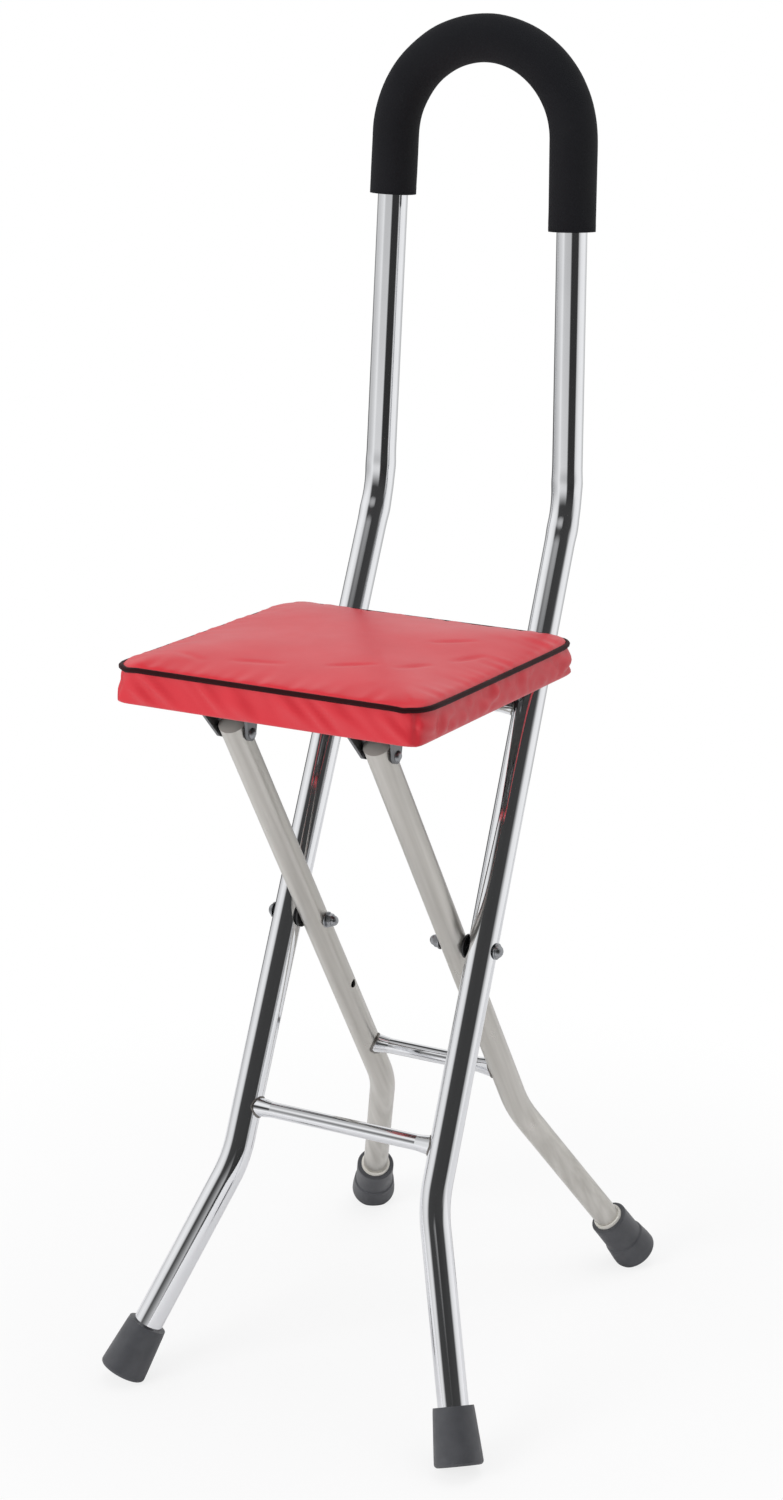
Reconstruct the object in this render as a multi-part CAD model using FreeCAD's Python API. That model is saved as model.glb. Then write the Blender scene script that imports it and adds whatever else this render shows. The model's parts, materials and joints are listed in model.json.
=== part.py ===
"""Walking stick seat: a folding cane stool with an arched handle and a padded square seat.

Millimetres, +Z up, the floor is Z = 0. +Y points to the handle's side, -Y is the seat's
front edge, and X runs across the frame. The handle frame and the rear legs cross in an X.
"""
import FreeCAD, Part
import math
import os

V = FreeCAD.Vector
ACROSS = V(1, 0, 0)
UP = V(0, 0, 1)

# Handle frame: one bent tube, from the front feet up over the handle
MAIN_TUBE_R = 10.0
MAIN_WALL = 1.2
MAIN_LEAN = 24.9
POST_LEAN = 3.1
POST_HALF_AT_BEND = 70.0
POST_HALF_AT_LOWER_BEND = 74.3
POST_HALF_AT_TOP = 63.0
UPPER_BEND_FROM_PIVOT = 296.6
LOWER_BEND_FROM_PIVOT = 168.0
UPPER_BEND_R = 80.0
LOWER_BEND_R = 90.0
HANDLE_TOP_Z = 865.3
FRONT_SPLAY = 18.7

# Cross pivot of the two frames
PIVOT_Y = -21.3
PIVOT_Z = 298.7

# Rear legs: two bent tubes inside the handle frame
REAR_TUBE_R = 9.0
REAR_WALL = 1.2
REAR_LEAN = 32.4
REAR_HALF_AT_TOP = 51.2
REAR_HALF_AT_BEND = 53.2
REAR_BEND_FROM_PIVOT = 183.0
HINGE_FROM_PIVOT = 185.5
TUBE_PAST_HINGE = 7.5
REAR_SPLAY = 18.9

# Bars between the tubes
BAR_R = 5.3
BAR_WALL = 1.0
BAR_FLARE = 1.3
BAR_FLARE_L = 12.0
FRONT_BAR_FROM_PIVOT = 131.0
REAR_BAR_FROM_PIVOT = 139.0
REST_BAR_FROM_PIVOT = 160.0
REST_BAR_R = 5.0
VENT_HOLE_R = 3.0
VENT_FROM_PIVOT = 70.0

# Foam grip, whose ends hang at different heights on the two posts
GRIP_R = 15.4
GRIP_BORE_GAP = 0.05
GRIP_END_LEFT_Z = 764.0
GRIP_END_RIGHT_Z = 746.0

# Rubber ferrules
FERRULE_SOLE_R = 16.0
FERRULE_EDGE = 2.5
FERRULE_BASE = 7.0
FRONT_FERRULE_H = 37.0
FRONT_FERRULE_TOP_R = 13.2
REAR_FERRULE_H = 41.0
REAR_NECK_R = 13.6
REAR_NECK_H = 22.0
SLEEVE_WALL = 1.5
SLEEVE_PROUD = 2.0
SOLE_WEAR = 1.5
DISC_T = 1.5

# Pivot bolts
BOLT_R = 2.5
BOLT_RUNNING_GAP = 0.05
BOLT_HEAD_R = 4.6
BOLT_HEAD_H = 3.6
WASHER_R = 5.4
WASHER_T = 1.0
SPACER_R = 8.0
FACE_GAP = 0.1
BUSH_WALL = 1.5
NUT_R = 4.6
NUT_HEX_H = 3.6
NUT_DOME_R = 3.6
NUT_H = 7.4

# Seat, in its own frame: y from the front edge, z from the underside
SEAT_TILT = 2.0
SEAT_W = 214.6
SEAT_D = 219.8
SEAT_EDGE_H = 24.0
SEAT_TOP_CORNER_R = 24.0
SEAT_HEM_CORNER_R = 12.0
SEAT_FRONT_EDGE_Y = -176.5
SEAT_FRONT_EDGE_Z = 504.4
CROWN_H = 5.2
COVER_T = 1.2
HEM_W = 15.0
BOARD_T = 9.0
BOARD_INSET = 4.6
PIPING_R = 1.7
STAPLE_L = 10.0
STAPLE_R = 0.5
STAPLES_A_SIDE = 5

# Hinge brackets under the seat's front
EAR_T = 2.0
EAR_TIP_R = 5.0
NARROW_EAR_HALF_BASE = 9.0
HINGE_SPACER_T = 1.0
HINGE_SPACER_R = 5.0
BRACKET_LEN = 60.0
PIN_R = 2.5
PIN_HEAD_R = 3.6
PIN_HEAD_H = 2.4
SCREW_R = 1.9
SCREW_HEAD_R = 3.8
SCREW_HEAD_H = 2.2
SCREW_L = 8.0
SCREW_HALF_GAP = 20.0

# Rest clips under the seat's rear, which saddle the rest bar
CLIP_X = 38.0
CLIP_W = 24.0
CLIP_WALL = 4.0
CLIP_GAP = 0.25
CLIP_BASE_D = 40.0
CLIP_BASE_T = 3.0
CLIP_SLOT_TURN = 24.0


def rad(degrees):
    return math.radians(degrees)


def lean_dir(degrees):
    """Unit vector that rises and leans back by an angle from the vertical."""
    return V(0, math.sin(rad(degrees)), math.cos(rad(degrees)))


PIVOT = V(0, PIVOT_Y, PIVOT_Z)
MAIN_DIR = lean_dir(MAIN_LEAN)
REAR_DIR = lean_dir(-REAR_LEAN)


def between(low, high, share):
    return low + (high - low) * share


def main_half(from_pivot):
    """Half spacing of the handle frame's tubes, at a distance above the pivot."""
    share = (from_pivot + LOWER_BEND_FROM_PIVOT) / (UPPER_BEND_FROM_PIVOT + LOWER_BEND_FROM_PIVOT)
    return between(POST_HALF_AT_LOWER_BEND, POST_HALF_AT_BEND, share)


def rear_half(from_pivot):
    """Half spacing of the rear legs' tubes, at a distance above the pivot."""
    share = (from_pivot + REAR_BEND_FROM_PIVOT) / (HINGE_FROM_PIVOT + REAR_BEND_FROM_PIVOT)
    return between(REAR_HALF_AT_BEND, REAR_HALF_AT_TOP, share)


def on_main(from_pivot, side):
    return PIVOT + MAIN_DIR * from_pivot + ACROSS * (side * main_half(from_pivot))


def on_rear(from_pivot, side):
    return PIVOT + REAR_DIR * from_pivot + ACROSS * (side * rear_half(from_pivot))


def sole_height(down):
    """Height of a sole's centre when its worn edge stands on the floor."""
    cos_a = abs(down.z)
    sin_a = math.sqrt(1 - cos_a * cos_a)
    edge = (FERRULE_SOLE_R - FERRULE_EDGE) * sin_a + FERRULE_EDGE - FERRULE_EDGE * cos_a
    return edge - SOLE_WEAR


def foot_point(bend, frame_dir, splay, side):
    """Centre of the sole, where the splayed leg below a bend meets the floor."""
    down = frame_dir * (-math.cos(rad(splay))) + ACROSS * (side * math.sin(rad(splay)))
    length = (bend.z - sole_height(down)) / abs(down.z)
    return bend + down * length, down


def bent_path(points, radii):
    """Wire of straight runs joined by tangent arcs, one radius for each inner point."""
    edges = []
    start = points[0]
    for i in range(1, len(points) - 1):
        back = (points[i - 1] - points[i]).normalize()
        ahead = (points[i + 1] - points[i]).normalize()
        half = back.getAngle(ahead) / 2
        cut = radii[i - 1] / math.tan(half)
        enter = points[i] + back * cut
        leave = points[i] + ahead * cut
        bisector = (back + ahead).normalize()
        centre = points[i] + bisector * (radii[i - 1] / math.sin(half))
        middle = centre - bisector * radii[i - 1]
        if (enter - start).Length > 1e-6:
            edges.append(Part.LineSegment(start, enter).toShape())
        edges.append(Part.Arc(enter, middle, leave).toShape())
        start = leave
    if (points[-1] - start).Length > 1e-6:
        edges.append(Part.LineSegment(start, points[-1]).toShape())
    return Part.Wire(edges)


def swept(path, radius):
    """Round bar along a path."""
    first = path.OrderedEdges[0]
    begin = first.valueAt(first.FirstParameter)
    heading = first.tangentAt(first.FirstParameter)
    ring = Part.Wire(Part.makeCircle(radius, begin, heading))
    return path.makePipeShell([ring], True, False)


def cylinder(radius, start, end):
    return Part.makeCylinder(radius, (end - start).Length, start, end - start)


def washer(radius, bore, start, end):
    return cylinder(radius, start, end).cut(cylinder(bore, start, end))


def dome(radius, height, base, direction):
    """Low dome, as on a carriage bolt, standing on a flat face."""
    ball_r = (radius * radius + height * height) / (2 * height)
    half = math.asin(radius / ball_r) / 2
    middle = V(ball_r * math.sin(half), 0, height - ball_r + ball_r * math.cos(half))
    rim = V(radius, 0, 0)
    crest = V(0, 0, height)
    edges = [Part.LineSegment(V(0, 0, 0), rim).toShape(), Part.Arc(rim, middle, crest).toShape(),
             Part.LineSegment(crest, V(0, 0, 0)).toShape()]
    solid = Part.Face(Part.Wire(edges)).revolve(V(0, 0, 0), UP, 360)
    solid.Placement = FreeCAD.Placement(base, FreeCAD.Rotation(UP, direction))
    return solid


def turned(profile, base, direction):
    """Solid of revolution: profile is (radius, height) pairs, height along direction."""
    wire = Part.makePolygon([V(r, 0, h) for r, h in profile + profile[:1]])
    solid = Part.Face(wire).revolve(V(0, 0, 0), UP, 360)
    solid.Placement = FreeCAD.Placement(base, FreeCAD.Rotation(UP, direction))
    return solid


def save(name, shape):
    """Write one node, and report its volume."""
    if not shape.isValid():
        raise RuntimeError(name + " is not a valid shape")
    shape.exportStep("parts/" + name + ".step")
    print("%-22s solids %2d  volume %10.1f mm3" % (name, len(shape.Solids), shape.Volume))


# Handle frame

def main_points():
    """Corner points of the handle frame's centre line, from the left foot to the right."""
    sides = {}
    for side in (-1, 1):
        upper = on_main(UPPER_BEND_FROM_PIVOT, side)
        lower = on_main(-LOWER_BEND_FROM_PIVOT, side)
        foot, down = foot_point(lower, MAIN_DIR, FRONT_SPLAY, side)
        rise = HANDLE_TOP_Z - upper.z
        top = V(side * POST_HALF_AT_TOP, upper.y + rise * math.tan(rad(POST_LEAN)), HANDLE_TOP_Z)
        sides[side] = (foot, down, lower, upper, top)
    return sides


MAIN_POINTS = main_points()


def arch_radius():
    """Radius of the handle's arch, which fills the width between the posts."""
    foot, down, lower, upper, top = MAIN_POINTS[1]
    half_turn = (upper - top).getAngle(V(-1, 0, 0)) / 2
    return POST_HALF_AT_TOP * math.tan(half_turn)


def main_path(left_start, right_start):
    """Centre line of the handle frame between two points, one on each leg."""
    left = MAIN_POINTS[-1]
    right = MAIN_POINTS[1]
    points = [left_start, left[2], left[3], left[4], right[4], right[3], right[2], right_start]
    arch = arch_radius()
    return bent_path(points, [LOWER_BEND_R, UPPER_BEND_R, arch, arch, UPPER_BEND_R, LOWER_BEND_R])


def leg_end(side):
    """End of the steel tube inside its ferrule."""
    foot, down = MAIN_POINTS[side][:2]
    return foot - down * (FERRULE_BASE + DISC_T)


def make_main_tube():
    path = main_path(leg_end(-1), leg_end(1))
    tube = swept(path, MAIN_TUBE_R).cut(swept(path, MAIN_TUBE_R - MAIN_WALL))
    for side in (-1, 1):
        centre = on_main(0, side)
        reach = ACROSS * (MAIN_TUBE_R + 2)
        tube = tube.cut(cylinder(BOLT_R + BOLT_RUNNING_GAP, centre - reach, centre + reach))
    return tube


def post_point(side, z):
    """Point on a post's centre line above the upper bend, at a height."""
    upper, top = MAIN_POINTS[side][3:5]
    return between(upper, top, (z - upper.z) / (top.z - upper.z))


def make_handle_grip():
    """Foam sleeve over the arch, drawn on as one piece."""
    left = post_point(-1, GRIP_END_LEFT_Z)
    right = post_point(1, GRIP_END_RIGHT_Z)
    arch = arch_radius()
    path = bent_path([left, MAIN_POINTS[-1][4], MAIN_POINTS[1][4], right], [arch, arch])
    return swept(path, GRIP_R).cut(swept(path, MAIN_TUBE_R + GRIP_BORE_GAP))


def make_bar(start, end, radius, bore, tube_r, runs):
    """Straight bar between two tubes, flared and coped where it is welded to their walls."""
    bar = cylinder(radius, start, end)
    ahead = (end - start).normalize()
    for base, inward in ((start, ahead), (end, ahead * -1)):
        wall = base + inward * (tube_r - 2.5)
        bar = bar.fuse(Part.makeCone(radius * BAR_FLARE, radius, BAR_FLARE_L, wall, inward))
    if bore > 0:
        bar = bar.cut(cylinder(bore, start, end))
    for low, high in runs:
        bar = bar.cut(cylinder(tube_r, low, high))
    return max(bar.Solids, key=lambda piece: piece.Volume)


def tube_runs(point_at, from_pivot):
    """Short straight stretches of the two tubes at a distance from the pivot."""
    return [(point_at(from_pivot - 30, side), point_at(from_pivot + 30, side)) for side in (-1, 1)]


def make_front_cross_bar():
    at = -FRONT_BAR_FROM_PIVOT
    runs = tube_runs(on_main, at)
    return make_bar(on_main(at, -1), on_main(at, 1), BAR_R, BAR_R - BAR_WALL, MAIN_TUBE_R, runs)


def make_seat_rest_bar():
    at = REST_BAR_FROM_PIVOT
    runs = tube_runs(on_main, at)
    return make_bar(on_main(at, -1), on_main(at, 1), REST_BAR_R, 0, MAIN_TUBE_R, runs)


# Rear legs

def rear_leg_points(side):
    top = on_rear(HINGE_FROM_PIVOT + TUBE_PAST_HINGE, side)
    bend = on_rear(-REAR_BEND_FROM_PIVOT, side)
    foot, down = foot_point(bend, REAR_DIR, REAR_SPLAY, side)
    return top, bend, foot, down


def make_rear_leg(side):
    top, bend, foot, down = rear_leg_points(side)
    end = foot - down * (FERRULE_BASE + DISC_T)
    path = bent_path([end, bend, top], [LOWER_BEND_R])
    leg = swept(path, REAR_TUBE_R).cut(swept(path, REAR_TUBE_R - REAR_WALL))
    bush_r = BOLT_R + BOLT_RUNNING_GAP + BUSH_WALL
    for at in (0, HINGE_FROM_PIVOT):
        centre = on_rear(at, side)
        reach = ACROSS * (REAR_TUBE_R + 2)
        leg = leg.cut(cylinder(bush_r, centre - reach, centre + reach))
    vent = on_rear(-VENT_FROM_PIVOT, side)
    return leg.cut(cylinder(VENT_HOLE_R, vent, vent - ACROSS * (side * (REAR_TUBE_R + 2))))


def make_rear_cross_bar():
    at = -REAR_BAR_FROM_PIVOT
    runs = tube_runs(on_rear, at)
    return make_bar(on_rear(at, -1), on_rear(at, 1), BAR_R, BAR_R - BAR_WALL, REAR_TUBE_R, runs)


def make_top_plugs():
    """Plastic plugs that close the rear tubes' upper ends."""
    plugs = []
    for side in (-1, 1):
        top = rear_leg_points(side)[0]
        axis = (on_rear(HINGE_FROM_PIVOT, side) - on_rear(0, side)).normalize()
        cap = dome(REAR_TUBE_R, 2.5, top, axis)
        stem = cylinder(REAR_TUBE_R - REAR_WALL, top - axis * 2.2, top)
        plugs.append(cap.fuse(stem).removeSplitter())
    return Part.makeCompound(plugs)


def make_bushes(at):
    """Nylon bushes across the rear tubes, on which the bolts or pins turn."""
    inner = BOLT_R + BOLT_RUNNING_GAP
    bushes = []
    for side in (-1, 1):
        centre = on_rear(at, side)
        reach = ACROSS * REAR_TUBE_R
        bushes.append(washer(inner + BUSH_WALL, inner, centre - reach, centre + reach))
    return Part.makeCompound(bushes)


# Ferrules

def make_ferrule(foot, down, socket_r, profile):
    """Rubber ferrule with a round socket, worn flat where it stands."""
    axis = down * -1
    body = turned(profile, foot, axis)
    sole_edge = [e for e in body.Edges if e.Curve.TypeId == "Part::GeomCircle"
                 and abs(e.Curve.Radius - FERRULE_SOLE_R) < 1e-6
                 and abs((e.Curve.Center - foot).Length) < 1e-6]
    body = body.makeFillet(FERRULE_EDGE, sole_edge)
    height = profile[-1][1]
    body = body.cut(cylinder(socket_r, foot + axis * FERRULE_BASE, foot + axis * (height + 1)))
    side = 4 * FERRULE_SOLE_R
    below = Part.makeBox(side, side, side, V(foot.x - side / 2, foot.y - side / 2, -side))
    return body.cut(below)


def make_front_ferrule(side):
    foot, down = MAIN_POINTS[side][:2]
    profile = [(0, 0), (FERRULE_SOLE_R, 0), (FERRULE_SOLE_R - 0.4, 7), (FRONT_FERRULE_TOP_R + 0.4, 33.6),
               (FRONT_FERRULE_TOP_R, FRONT_FERRULE_H), (0, FRONT_FERRULE_H)]
    return make_ferrule(foot, down, MAIN_TUBE_R, profile)


def make_rear_ferrule(side):
    top, bend, foot, down = rear_leg_points(side)
    shoulder = REAR_FERRULE_H - REAR_NECK_H
    profile = [(0, 0), (FERRULE_SOLE_R, 0), (FERRULE_SOLE_R - 0.2, 7), (FERRULE_SOLE_R - 1.2, shoulder - 1.2),
               (FERRULE_SOLE_R - 2.2, shoulder), (REAR_NECK_R + 0.2, shoulder + 0.8),
               (REAR_NECK_R, REAR_FERRULE_H - 0.6), (REAR_NECK_R - 0.6, REAR_FERRULE_H), (0, REAR_FERRULE_H)]
    return make_ferrule(foot, down, REAR_TUBE_R + SLEEVE_WALL, profile)


def make_rear_sleeves():
    """White nylon sleeves that fill the rear sockets and show as a ring at their mouths."""
    sleeves = []
    for side in (-1, 1):
        foot, down = rear_leg_points(side)[2:]
        low = foot - down * (FERRULE_BASE + DISC_T)
        high = foot - down * (REAR_FERRULE_H + SLEEVE_PROUD)
        sleeves.append(washer(REAR_TUBE_R + SLEEVE_WALL, REAR_TUBE_R, low, high))
    return Part.makeCompound(sleeves)


def make_discs(feet, tube_r):
    """Steel discs inside the ferrules, under the tube ends."""
    discs = []
    for foot, down in feet:
        base = foot - down * FERRULE_BASE
        discs.append(cylinder(tube_r, base, base - down * DISC_T))
    return Part.makeCompound(discs)


# Pivot hardware: outside to inside, the head, washer, tube, spacer, leg, washer, nut

def pivot_stations():
    """Distances from the middle plane of the faces along one pivot bolt."""
    outer = main_half(0) + MAIN_TUBE_R + FACE_GAP
    gap_out = main_half(0) - MAIN_TUBE_R - FACE_GAP
    gap_in = rear_half(0) + REAR_TUBE_R + FACE_GAP
    inner = rear_half(0) - REAR_TUBE_R - FACE_GAP
    return outer, gap_out, gap_in, inner


def pivot_at(x):
    return PIVOT + ACROSS * x


def make_pivot_bolt(side):
    outer, gap_out, gap_in, inner = pivot_stations()
    seat_face = outer + WASHER_T
    tip = inner - WASHER_T - NUT_H + 2.0
    head = dome(BOLT_HEAD_R, BOLT_HEAD_H, pivot_at(side * seat_face), ACROSS * side)
    return head.fuse(cylinder(BOLT_R, pivot_at(side * seat_face), pivot_at(side * tip))).removeSplitter()


def make_pivot_washers():
    outer, gap_out, gap_in, inner = pivot_stations()
    rings = []
    for side in (-1, 1):
        rings.append(washer(WASHER_R, BOLT_R, pivot_at(side * outer), pivot_at(side * (outer + WASHER_T))))
        rings.append(washer(WASHER_R, BOLT_R, pivot_at(side * (inner - WASHER_T)), pivot_at(side * inner)))
    return Part.makeCompound(rings)


def make_pivot_spacers():
    """Nylon washers that keep the two frames' tubes apart."""
    outer, gap_out, gap_in, inner = pivot_stations()
    bore = BOLT_R + BOLT_RUNNING_GAP
    return Part.makeCompound([washer(SPACER_R, bore, pivot_at(side * gap_in),
                                     pivot_at(side * gap_out)) for side in (-1, 1)])


def make_pivot_nuts():
    """Domed nuts on the bolts' inner ends: a hexagon foot with a smaller round dome."""
    inner = pivot_stations()[3]
    nuts = []
    for side in (-1, 1):
        base = pivot_at(side * (inner - WASHER_T))
        inward = ACROSS * -side
        corners = [base + V(0, NUT_R * math.cos(rad(60 * k)), NUT_R * math.sin(rad(60 * k))) for k in range(7)]
        foot = Part.Face(Part.makePolygon(corners)).extrude(inward * NUT_HEX_H)
        chamfer = Part.makeCone(NUT_R + 2.2, NUT_R - 0.6, NUT_HEX_H, base, inward)
        crown = dome(NUT_DOME_R, NUT_H - NUT_HEX_H, base + inward * NUT_HEX_H, inward)
        nut = foot.common(chamfer).fuse(crown).removeSplitter()
        nuts.append(nut.cut(Part.makeCylinder(BOLT_R, NUT_H - 2.0, base, inward)))
    return Part.makeCompound(nuts)


# Seat

def seat_place():
    """Placement of the seat's own frame: the front edge's middle, at the underside."""
    tilt = FreeCAD.Rotation(ACROSS, -SEAT_TILT)
    edge = V(0, SEAT_FRONT_EDGE_Y, SEAT_FRONT_EDGE_Z)
    return FreeCAD.Placement(edge - tilt.multVec(V(0, 0, SEAT_EDGE_H)), tilt)


SEAT_PLACE = seat_place()
HINGE = PIVOT + REAR_DIR * HINGE_FROM_PIVOT
HINGE_IN_SEAT = SEAT_PLACE.inverse().multVec(HINGE)
REST_BAR_IN_SEAT = SEAT_PLACE.inverse().multVec(PIVOT + MAIN_DIR * REST_BAR_FROM_PIVOT)


def in_place(shape):
    """Move a shape from the seat's own frame to the stool's."""
    moved = shape.copy()
    moved.Placement = SEAT_PLACE.multiply(moved.Placement)
    return moved


def corner_radius(z):
    """The corners are rounder at the piped edge than at the hem."""
    share = min(max(z / SEAT_EDGE_H, 0.0), 1.0)
    return between(SEAT_HEM_CORNER_R, SEAT_TOP_CORNER_R, share)


def rounded_outline(inset, z):
    """Rounded rectangle of the seat's outline, drawn in by an inset."""
    half = SEAT_W / 2 - inset
    near = inset
    far = SEAT_D - inset
    r = max(corner_radius(z) - inset, 5.0)
    k = r * (1 - math.sqrt(0.5))
    corners = [((half - r, near), (half - k, near + k), (half, near + r)),
               ((half, far - r), (half - k, far - k), (half - r, far)),
               ((-half + r, far), (-half + k, far - k), (-half, far - r)),
               ((-half, near + r), (-half + k, near + k), (-half + r, near))]
    edges = []
    for i in range(4):
        a, b, c = [V(x, y, z) for x, y in corners[i]]
        following = V(corners[(i + 1) % 4][0][0], corners[(i + 1) % 4][0][1], z)
        edges.append(Part.Arc(a, b, c).toShape())
        edges.append(Part.LineSegment(c, following).toShape())
    return Part.Wire(edges)


def crown_sections(skin):
    """Insets and heights from the edge to the middle of the crowned top."""
    sections = []
    for share in (0.0, 0.07, 0.16, 0.30, 0.48, 0.70):
        rise = CROWN_H * math.sin(rad(90) * min(1.0, share / 0.70)) ** 0.8
        sections.append((1.6 + share * SEAT_D / 2 + skin, SEAT_EDGE_H + rise - skin))
    return sections


def cushion_form(skin, floor_z):
    """Padded body: sides drawn in between the hem and the piped edge, top crowned."""
    sides = [(1.0 + skin, floor_z), (2.4 + skin, 11.0), (2.2 + skin, 17.0), (1.4 + skin, 22.5)]
    wires = [rounded_outline(inset, z) for inset, z in sides + crown_sections(skin)]
    return Part.makeLoft(wires, True, True)


def make_board():
    """Plywood board with pilot holes for the bracket and clip screws."""
    board = board_space()
    for point in bracket_screw_points() + clip_screw_points():
        board = board.cut(Part.makeCylinder(SCREW_R, SCREW_L, V(point.x, point.y, COVER_T), UP))
    return board


def board_space():
    outline = rounded_outline(BOARD_INSET, COVER_T)
    return Part.Face(outline).extrude(V(0, 0, BOARD_T))


def make_foam():
    top = COVER_T + BOARD_T
    above = Part.makeBox(SEAT_W + 20, SEAT_D + 20, 60, V(-SEAT_W / 2 - 10, -10, top))
    return cushion_form(COVER_T, 0.0).common(above).cut(piping_bar(0.0))


def piping_bar(grow):
    """Round cord along the cushion's upper edge."""
    path = rounded_outline(PIPING_R, SEAT_EDGE_H - 0.4)
    begin = path.OrderedEdges[0].valueAt(path.OrderedEdges[0].FirstParameter)
    heading = path.OrderedEdges[0].tangentAt(path.OrderedEdges[0].FirstParameter)
    ring = Part.Wire(Part.makeCircle(PIPING_R + grow, begin, heading))
    return path.makePipeShell([ring], True, False)


def cover_pieces():
    """Vinyl skin round the foam and the board, parted along the piped edge."""
    skin = cushion_form(0.0, 0.0).cut(make_foam()).cut(board_space())
    opening = rounded_outline(HEM_W, -1.0)
    skin = skin.cut(Part.Face(opening).extrude(V(0, 0, COVER_T + 1.0)))
    skin = skin.cut(piping_bar(0.0))
    return sorted(skin.Solids, key=lambda piece: piece.CenterOfMass.z)


def make_cover_skirt():
    """Side strip with the hem turned under the board."""
    return cover_pieces()[0]


def make_cover_top():
    """Top panel, sewn to the skirt with the piping between."""
    return cover_pieces()[-1]


def make_staples():
    """Wire staples that hold the hem to the board."""
    staples = []
    inset = HEM_W * 0.55
    for k in range(STAPLES_A_SIDE):
        along = (k + 0.5) / STAPLES_A_SIDE
        x = between(-SEAT_W / 2 + 20, SEAT_W / 2 - 20, along)
        y = between(20, SEAT_D - 20, along)
        for at in (inset, SEAT_D - inset):
            staples.append(Part.makeBox(STAPLE_L, 2 * STAPLE_R, STAPLE_R,
                                        V(x - STAPLE_L / 2, at - STAPLE_R, -STAPLE_R)))
        for at in (-SEAT_W / 2 + inset, SEAT_W / 2 - inset):
            staples.append(Part.makeBox(2 * STAPLE_R, STAPLE_L, STAPLE_R,
                                        V(at - STAPLE_R, y - STAPLE_L / 2, -STAPLE_R)))
    return Part.makeCompound(staples)


# Hinge brackets

def ear_faces():
    """Distances from the middle plane of the ears' inner faces."""
    half = rear_half(HINGE_FROM_PIVOT)
    reach = REAR_TUBE_R + HINGE_SPACER_T
    return half - reach, half + reach


def make_ear(x, half_base, low):
    """One ear: straight sides that run from the web into a round tip under the pin."""
    y, z = HINGE_IN_SEAT.y, HINGE_IN_SEAT.z
    drop = low - z
    touch = math.atan2(half_base, drop) - math.asin(EAR_TIP_R / math.hypot(half_base, drop))
    tip_y = EAR_TIP_R * math.cos(touch)
    tip_z = EAR_TIP_R * math.sin(touch)
    a = V(x, y - half_base, low)
    b = V(x, y - tip_y, z - tip_z)
    c = V(x, y, z - EAR_TIP_R)
    d = V(x, y + tip_y, z - tip_z)
    e = V(x, y + half_base, low)
    rim = [Part.LineSegment(a, b).toShape(), Part.Arc(b, c, d).toShape(),
           Part.LineSegment(d, e).toShape(), Part.LineSegment(e, a).toShape()]
    return Part.Face(Part.Wire(rim)).extrude(ACROSS * EAR_T)


def make_bracket(side):
    """Pressed channel round the tube: a flat web under the board, a wide left ear and a narrow right one."""
    inner, outer = ear_faces()
    y, z = HINGE_IN_SEAT.y, HINGE_IN_SEAT.z
    low = COVER_T - EAR_T
    half_len = BRACKET_LEN / 2
    bracket = Part.makeBox(outer - inner + 2 * EAR_T, BRACKET_LEN, EAR_T, V(inner - EAR_T, y - half_len, low))
    inner_base = half_len if side > 0 else NARROW_EAR_HALF_BASE
    outer_base = NARROW_EAR_HALF_BASE if side > 0 else half_len
    bracket = bracket.fuse(make_ear(inner - EAR_T, inner_base, low))
    bracket = bracket.fuse(make_ear(outer, outer_base, low))
    bracket = bracket.removeSplitter()
    bracket = bracket.cut(cylinder(PIN_R, V(inner - EAR_T - 1, y, z), V(outer + EAR_T + 1, y, z)))
    for point in bracket_screw_points():
        if point.x > 0:
            bracket = bracket.cut(Part.makeCylinder(SCREW_R, EAR_T + 2, V(point.x, point.y, low - 1), UP))
    if side < 0:
        bracket = bracket.mirror(V(0, 0, 0), ACROSS)
    return bracket


def bracket_screw_points():
    half = rear_half(HINGE_FROM_PIVOT)
    return [V(side * half, HINGE_IN_SEAT.y + step * SCREW_HALF_GAP, 0)
            for side in (-1, 1) for step in (-1, 1)]


def make_screws(points, under):
    """Pan-head wood screws driven up into the board."""
    screws = []
    for point in points:
        face = V(point.x, point.y, under)
        head = dome(SCREW_HEAD_R, SCREW_HEAD_H, face, UP * -1)
        shank = cylinder(SCREW_R, face, V(point.x, point.y, COVER_T + SCREW_L))
        screws.append(head.fuse(shank).removeSplitter())
    return Part.makeCompound(screws)


def make_hinge_pins():
    """Riveted pins through the ears, on which the rear legs' tops turn."""
    inner, outer = ear_faces()
    pins = []
    for side in (-1, 1):
        low = HINGE_IN_SEAT + ACROSS * (side * (inner - EAR_T))
        high = HINGE_IN_SEAT + ACROSS * (side * (outer + EAR_T))
        pin = cylinder(PIN_R, low, high)
        pin = pin.fuse(dome(PIN_HEAD_R, PIN_HEAD_H, low, ACROSS * -side))
        pin = pin.fuse(dome(PIN_HEAD_R, PIN_HEAD_H, high, ACROSS * side))
        pins.append(pin.removeSplitter())
    return Part.makeCompound(pins)


def make_hinge_spacers():
    """Nylon washers between the ears and the rear tubes."""
    inner, outer = ear_faces()
    rings = []
    for side in (-1, 1):
        for face, inward in ((inner, 1), (outer, -1)):
            start = HINGE_IN_SEAT + ACROSS * (side * face)
            end = start + ACROSS * (side * inward * (HINGE_SPACER_T - 0.05))
            rings.append(washer(HINGE_SPACER_R, PIN_R, start, end))
    return Part.makeCompound(rings)


# Rest clips

def clip_base():
    """Front and rear limits of a clip's base plate."""
    rear = SEAT_D - HEM_W - 1.0
    return rear - CLIP_BASE_D, rear


def clip_screw_points():
    front, rear = clip_base()
    return [V(side * CLIP_X, y, 0) for side in (-1, 1) for y in (front + 8, rear - 12)]


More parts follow.
